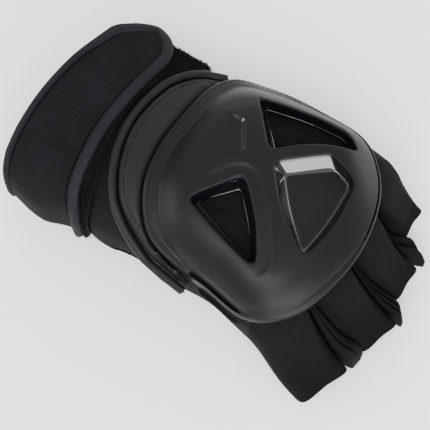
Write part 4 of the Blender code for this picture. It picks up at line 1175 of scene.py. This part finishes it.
PANEL_CORNER = 3.5 * MM
END_HOLLOW = 1.3 * MM


def finger_frame(row, way):
    """Centre, side and up directions of finger rings, with their blend to the tip shape."""
    _, low, high, tip_x, tip_y, _, tip_high, turn = row
    start_x = SLEEVE_END * GLOVE_LENGTH + CLEAR
    level = section_sizes(start_x)[2]
    blend = column(FINGER_FALL, 1, way)
    droop = np.radians(column(FINGER_FALL, 3, way))
    heading = math.radians(turn) * soft_step(way)
    x = start_x + (tip_x * GLOVE_LENGTH - start_x) * way
    y = HAND_WIDTH * ((low + high) / 2 * (1 - blend) + tip_y * blend)
    half_high = level * (1 - blend) + tip_high * BACK_HEIGHT * blend
    z = half_high * np.cos(droop) + np.maximum(column(FINGER_FALL, 2, way), 0.0) * BACK_HEIGHT
    centre = np.stack([x, y, z], axis=-1)
    side = np.stack([np.sin(heading), np.cos(heading), 0 * heading], axis=-1)
    up = np.stack([np.sin(droop) * np.cos(heading), -np.sin(droop) * np.sin(heading), np.cos(droop)], axis=-1)
    return centre, side, up, blend


def base_reach(turns, low, high):
    """Reach of the finger base outline from its centre at each turn."""
    middle, half_wide, level, half_high = section_sizes(SLEEVE_END * GLOVE_LENGTH)
    centre_y, half = (low + high) / 2, (high - low) / 2
    c, s = np.cos(turns), np.sin(turns)
    power = np.where(s >= 0, TOP_ROUND, PALM_ROUND)

    def share(reach):
        across = np.abs(centre_y + reach * c - middle) / half_wide
        return across ** power + (np.abs(reach * s) / half_high) ** power

    most = (np.abs(c / half) ** 5 + np.abs(s / half_high) ** 5) ** (-1 / 5)
    near, far = 0 * turns, most.copy()
    for _ in range(30):
        mid = (near + far) / 2
        within = share(mid) < 1
        near = np.where(within, mid, near)
        far = np.where(within, far, mid)
    return np.where(share(most) < 1, most, near)


def ring_points(reach):
    """Points of the present finger's rings at a reach from their centres."""
    return centre[:, None] + side[:, None] * (reach * c)[..., None] + up[:, None] * (reach * s)[..., None]


turns = 2 * math.pi * (np.arange(FINGER_AROUND) + 0.5) / FINGER_AROUND
c, s = np.cos(turns)[None, :], np.sin(turns)[None, :]
ways = np.concatenate([np.linspace(0, 0.965, FINGER_ROWS), (0.974, 0.982, 0.988, 0.993, 0.997, 1.0)])
for number, row in enumerate(FINGERS):
    centre, side, up, blend = finger_frame(row, ways)
    tip = (np.abs(c / (row[5] * HAND_WIDTH)) ** 3 + np.abs(s / (row[6] * BACK_HEIGHT)) ** 3) ** (-1 / 3)
    base_ring = base_reach(turns, row[1] * HAND_WIDTH, row[2] * HAND_WIDTH)
    reach = base_ring[None, :] * (1 - blend)[:, None] + tip * blend[:, None]
    half = ((row[2] - row[1]) / 2 * (1 - blend) + row[5] * blend)[:, None] * HAND_WIDTH
    length = (row[3] - SLEEVE_END) * GLOVE_LENGTH
    from_end = ((1 - ways) * length)[:, None]
    # Raised back panel with a sewn border
    q_side = np.abs(reach * c) - PANEL_SHARE * half + PANEL_CORNER
    q_end = PANEL_MARGIN - from_end + PANEL_CORNER
    border = np.hypot(np.maximum(q_side, 0), np.maximum(q_end, 0)) + np.minimum(np.maximum(q_side, q_end), 0)
    border -= PANEL_CORNER
    on_top = soft_step(s / 0.35)
    relief = 0.30 * MM * soft_step(-border / (1.6 * MM)) - 0.16 * MM * np.exp(-(border / (0.6 * MM)) ** 2)
    relief *= 0.6 + 0.25 * number
    spots = ring_points(reach)
    relief = (relief + cloth_noise(spots, 11 * MM, 61 + number) * 0.55 * MM
              + cloth_noise(spots, 4.5 * MM, 71 + number) * 0.16 * MM) * on_top
    mouth = np.clip(from_end / (0.8 * MM), 0, 1)
    rolled_in = FINGER_WALL / 2 * (1 - np.sqrt(1 - (1 - mouth) ** 2))
    hollow = (END_HOLLOW * soft_step((ways - 0.55) / 0.45))[:, None] * np.cos(
        np.clip(reach * c / half, -1, 1) * math.pi / 2) ** 1.5
    sheets = []
    for wall in (rolled_in - relief, FINGER_WALL - rolled_in - relief * 0.6):
        sheet = ring_points(reach - wall)
        sheet[..., 0] -= hollow
        sheets.append(sheet.reshape(-1, 3))
    finger, used = walled(row[0] + "_cloth", sheets[0] + PLACE, sheets[1] + PLACE,
                          tube_cells(len(ways), FINGER_AROUND), stretch_cloth)
    arc = np.cumsum(np.linalg.norm(np.diff(spots[40], axis=0, prepend=spots[40][-1:]), axis=1))
    uv = np.stack([from_end + 0 * reach, np.broadcast_to(arc, reach.shape)], axis=-1).reshape(-1, 2)
    lay_uv(finger, np.tile(uv, (2, 1))[used], arc[-1])
    dress(finger, "stretch_cloth", row[0])

# Finger gussets
# Narrow strips of folded stretch cloth that join one finger's side to the next, with rounded pleats and
# a small loose tab past the hems.
GUSSETS = (
    # name, tab length, shift of the tab towards the little finger, pleats
    ("gusset_index_middle", 2.2 * MM, 1.8 * MM, 2),
    ("gusset_middle_ring", 4.8 * MM, 0.8 * MM, 3),
    ("gusset_ring_little", 5.0 * MM, 5.0 * MM, 2),
)
PLEAT_DEEP = 2.2 * MM
GUSSET_CLEAR = 0.3 * MM


def finger_side(row, ways, sign):
    """Furthest side points of finger rings."""
    centre, side, up, blend = finger_frame(row, ways)
    half = (row[2] - row[1]) / 2 * (1 - blend) + row[5] * blend
    return centre + side * (sign * half * HAND_WIDTH)[:, None], centre[:, 2]


for number, (name, tab, shift, pleats) in enumerate(GUSSETS):
    tip_ways = 1 - 0.06 * np.cos(np.linspace(0.1, 1, 12) * math.pi / 2)
    ways = np.concatenate([np.linspace(0.30, 0.94, 50), tip_ways])
    left, left_z = finger_side(FINGERS[number], ways, 1)
    right, right_z = finger_side(FINGERS[number + 1], ways, -1)
    gap = right - left
    middle = (left + right) / 2
    middle[:, 0] += tab * soft_step((ways - 0.70) / 0.30)
    middle[:, 1] += shift * soft_step((ways - 0.76) / 0.24)
    across = unit(gap)
    tip_round = np.sqrt(np.clip(1 - np.clip((ways - 0.90) / 0.10, 0, 1) ** 2.5, 0, 1))
    half = np.maximum(np.linalg.norm(gap, axis=1) / 2 - GUSSET_CLEAR, GUSSET_CLEAR)
    half *= 0.62 + 0.38 * tip_round
    share = np.linspace(-1, 1, 61)
    fold = np.abs(np.sin(math.pi * pleats * (share + 1) / 2)) ** 0.55
    fold *= 0.82 + 0.18 * np.cos(math.pi * share * 1.5 + number)
    high = 2 * np.minimum(left_z, right_z) * (0.93 - 0.04 * number)
    deep = PLEAT_DEEP * np.clip(half / (2.4 * MM), 0.25, 1.3)
    upper = middle[:, None] + across[:, None] * half[:, None, None] * share[None, :, None]
    upper[..., 2] = high[:, None] - deep[:, None] * (1 - fold)[None, :]
    upper[..., 2] += cloth_noise(upper, 6 * MM, 81 + number) * 0.4 * MM
    lower = upper[:, ::-1].copy()
    lower[..., 2] = (0.02 + 0.06 * ways)[:, None] * BACK_HEIGHT
    upper[..., 2] = lower[:, :1, 2] + (upper[..., 2] - lower[:, :1, 2]) * (0.30 + 0.70 * tip_round)[:, None]
    rings = np.concatenate([upper, lower[:, 1:-1]], axis=1)
    rows, around = rings.shape[:2]
    faces = [tuple(cell[::-1]) for cell in tube_cells(rows, around)]
    faces += [tuple(range(around)), tuple(range((rows - 1) * around, rows * around))[::-1]]
    gusset, _ = mesh_of(name + "_pleats", rings.reshape(-1, 3) + PLACE, faces, stretch_cloth, 60)
    outward = bmesh.new()
    outward.from_mesh(gusset.data)
    bmesh.ops.recalc_face_normals(outward, faces=outward.faces)
    outward.to_mesh(gusset.data)
    outward.free()
    lay_uv(gusset, rings.reshape(-1, 3)[:, :2])
    dress(gusset, "stretch_cloth", name)
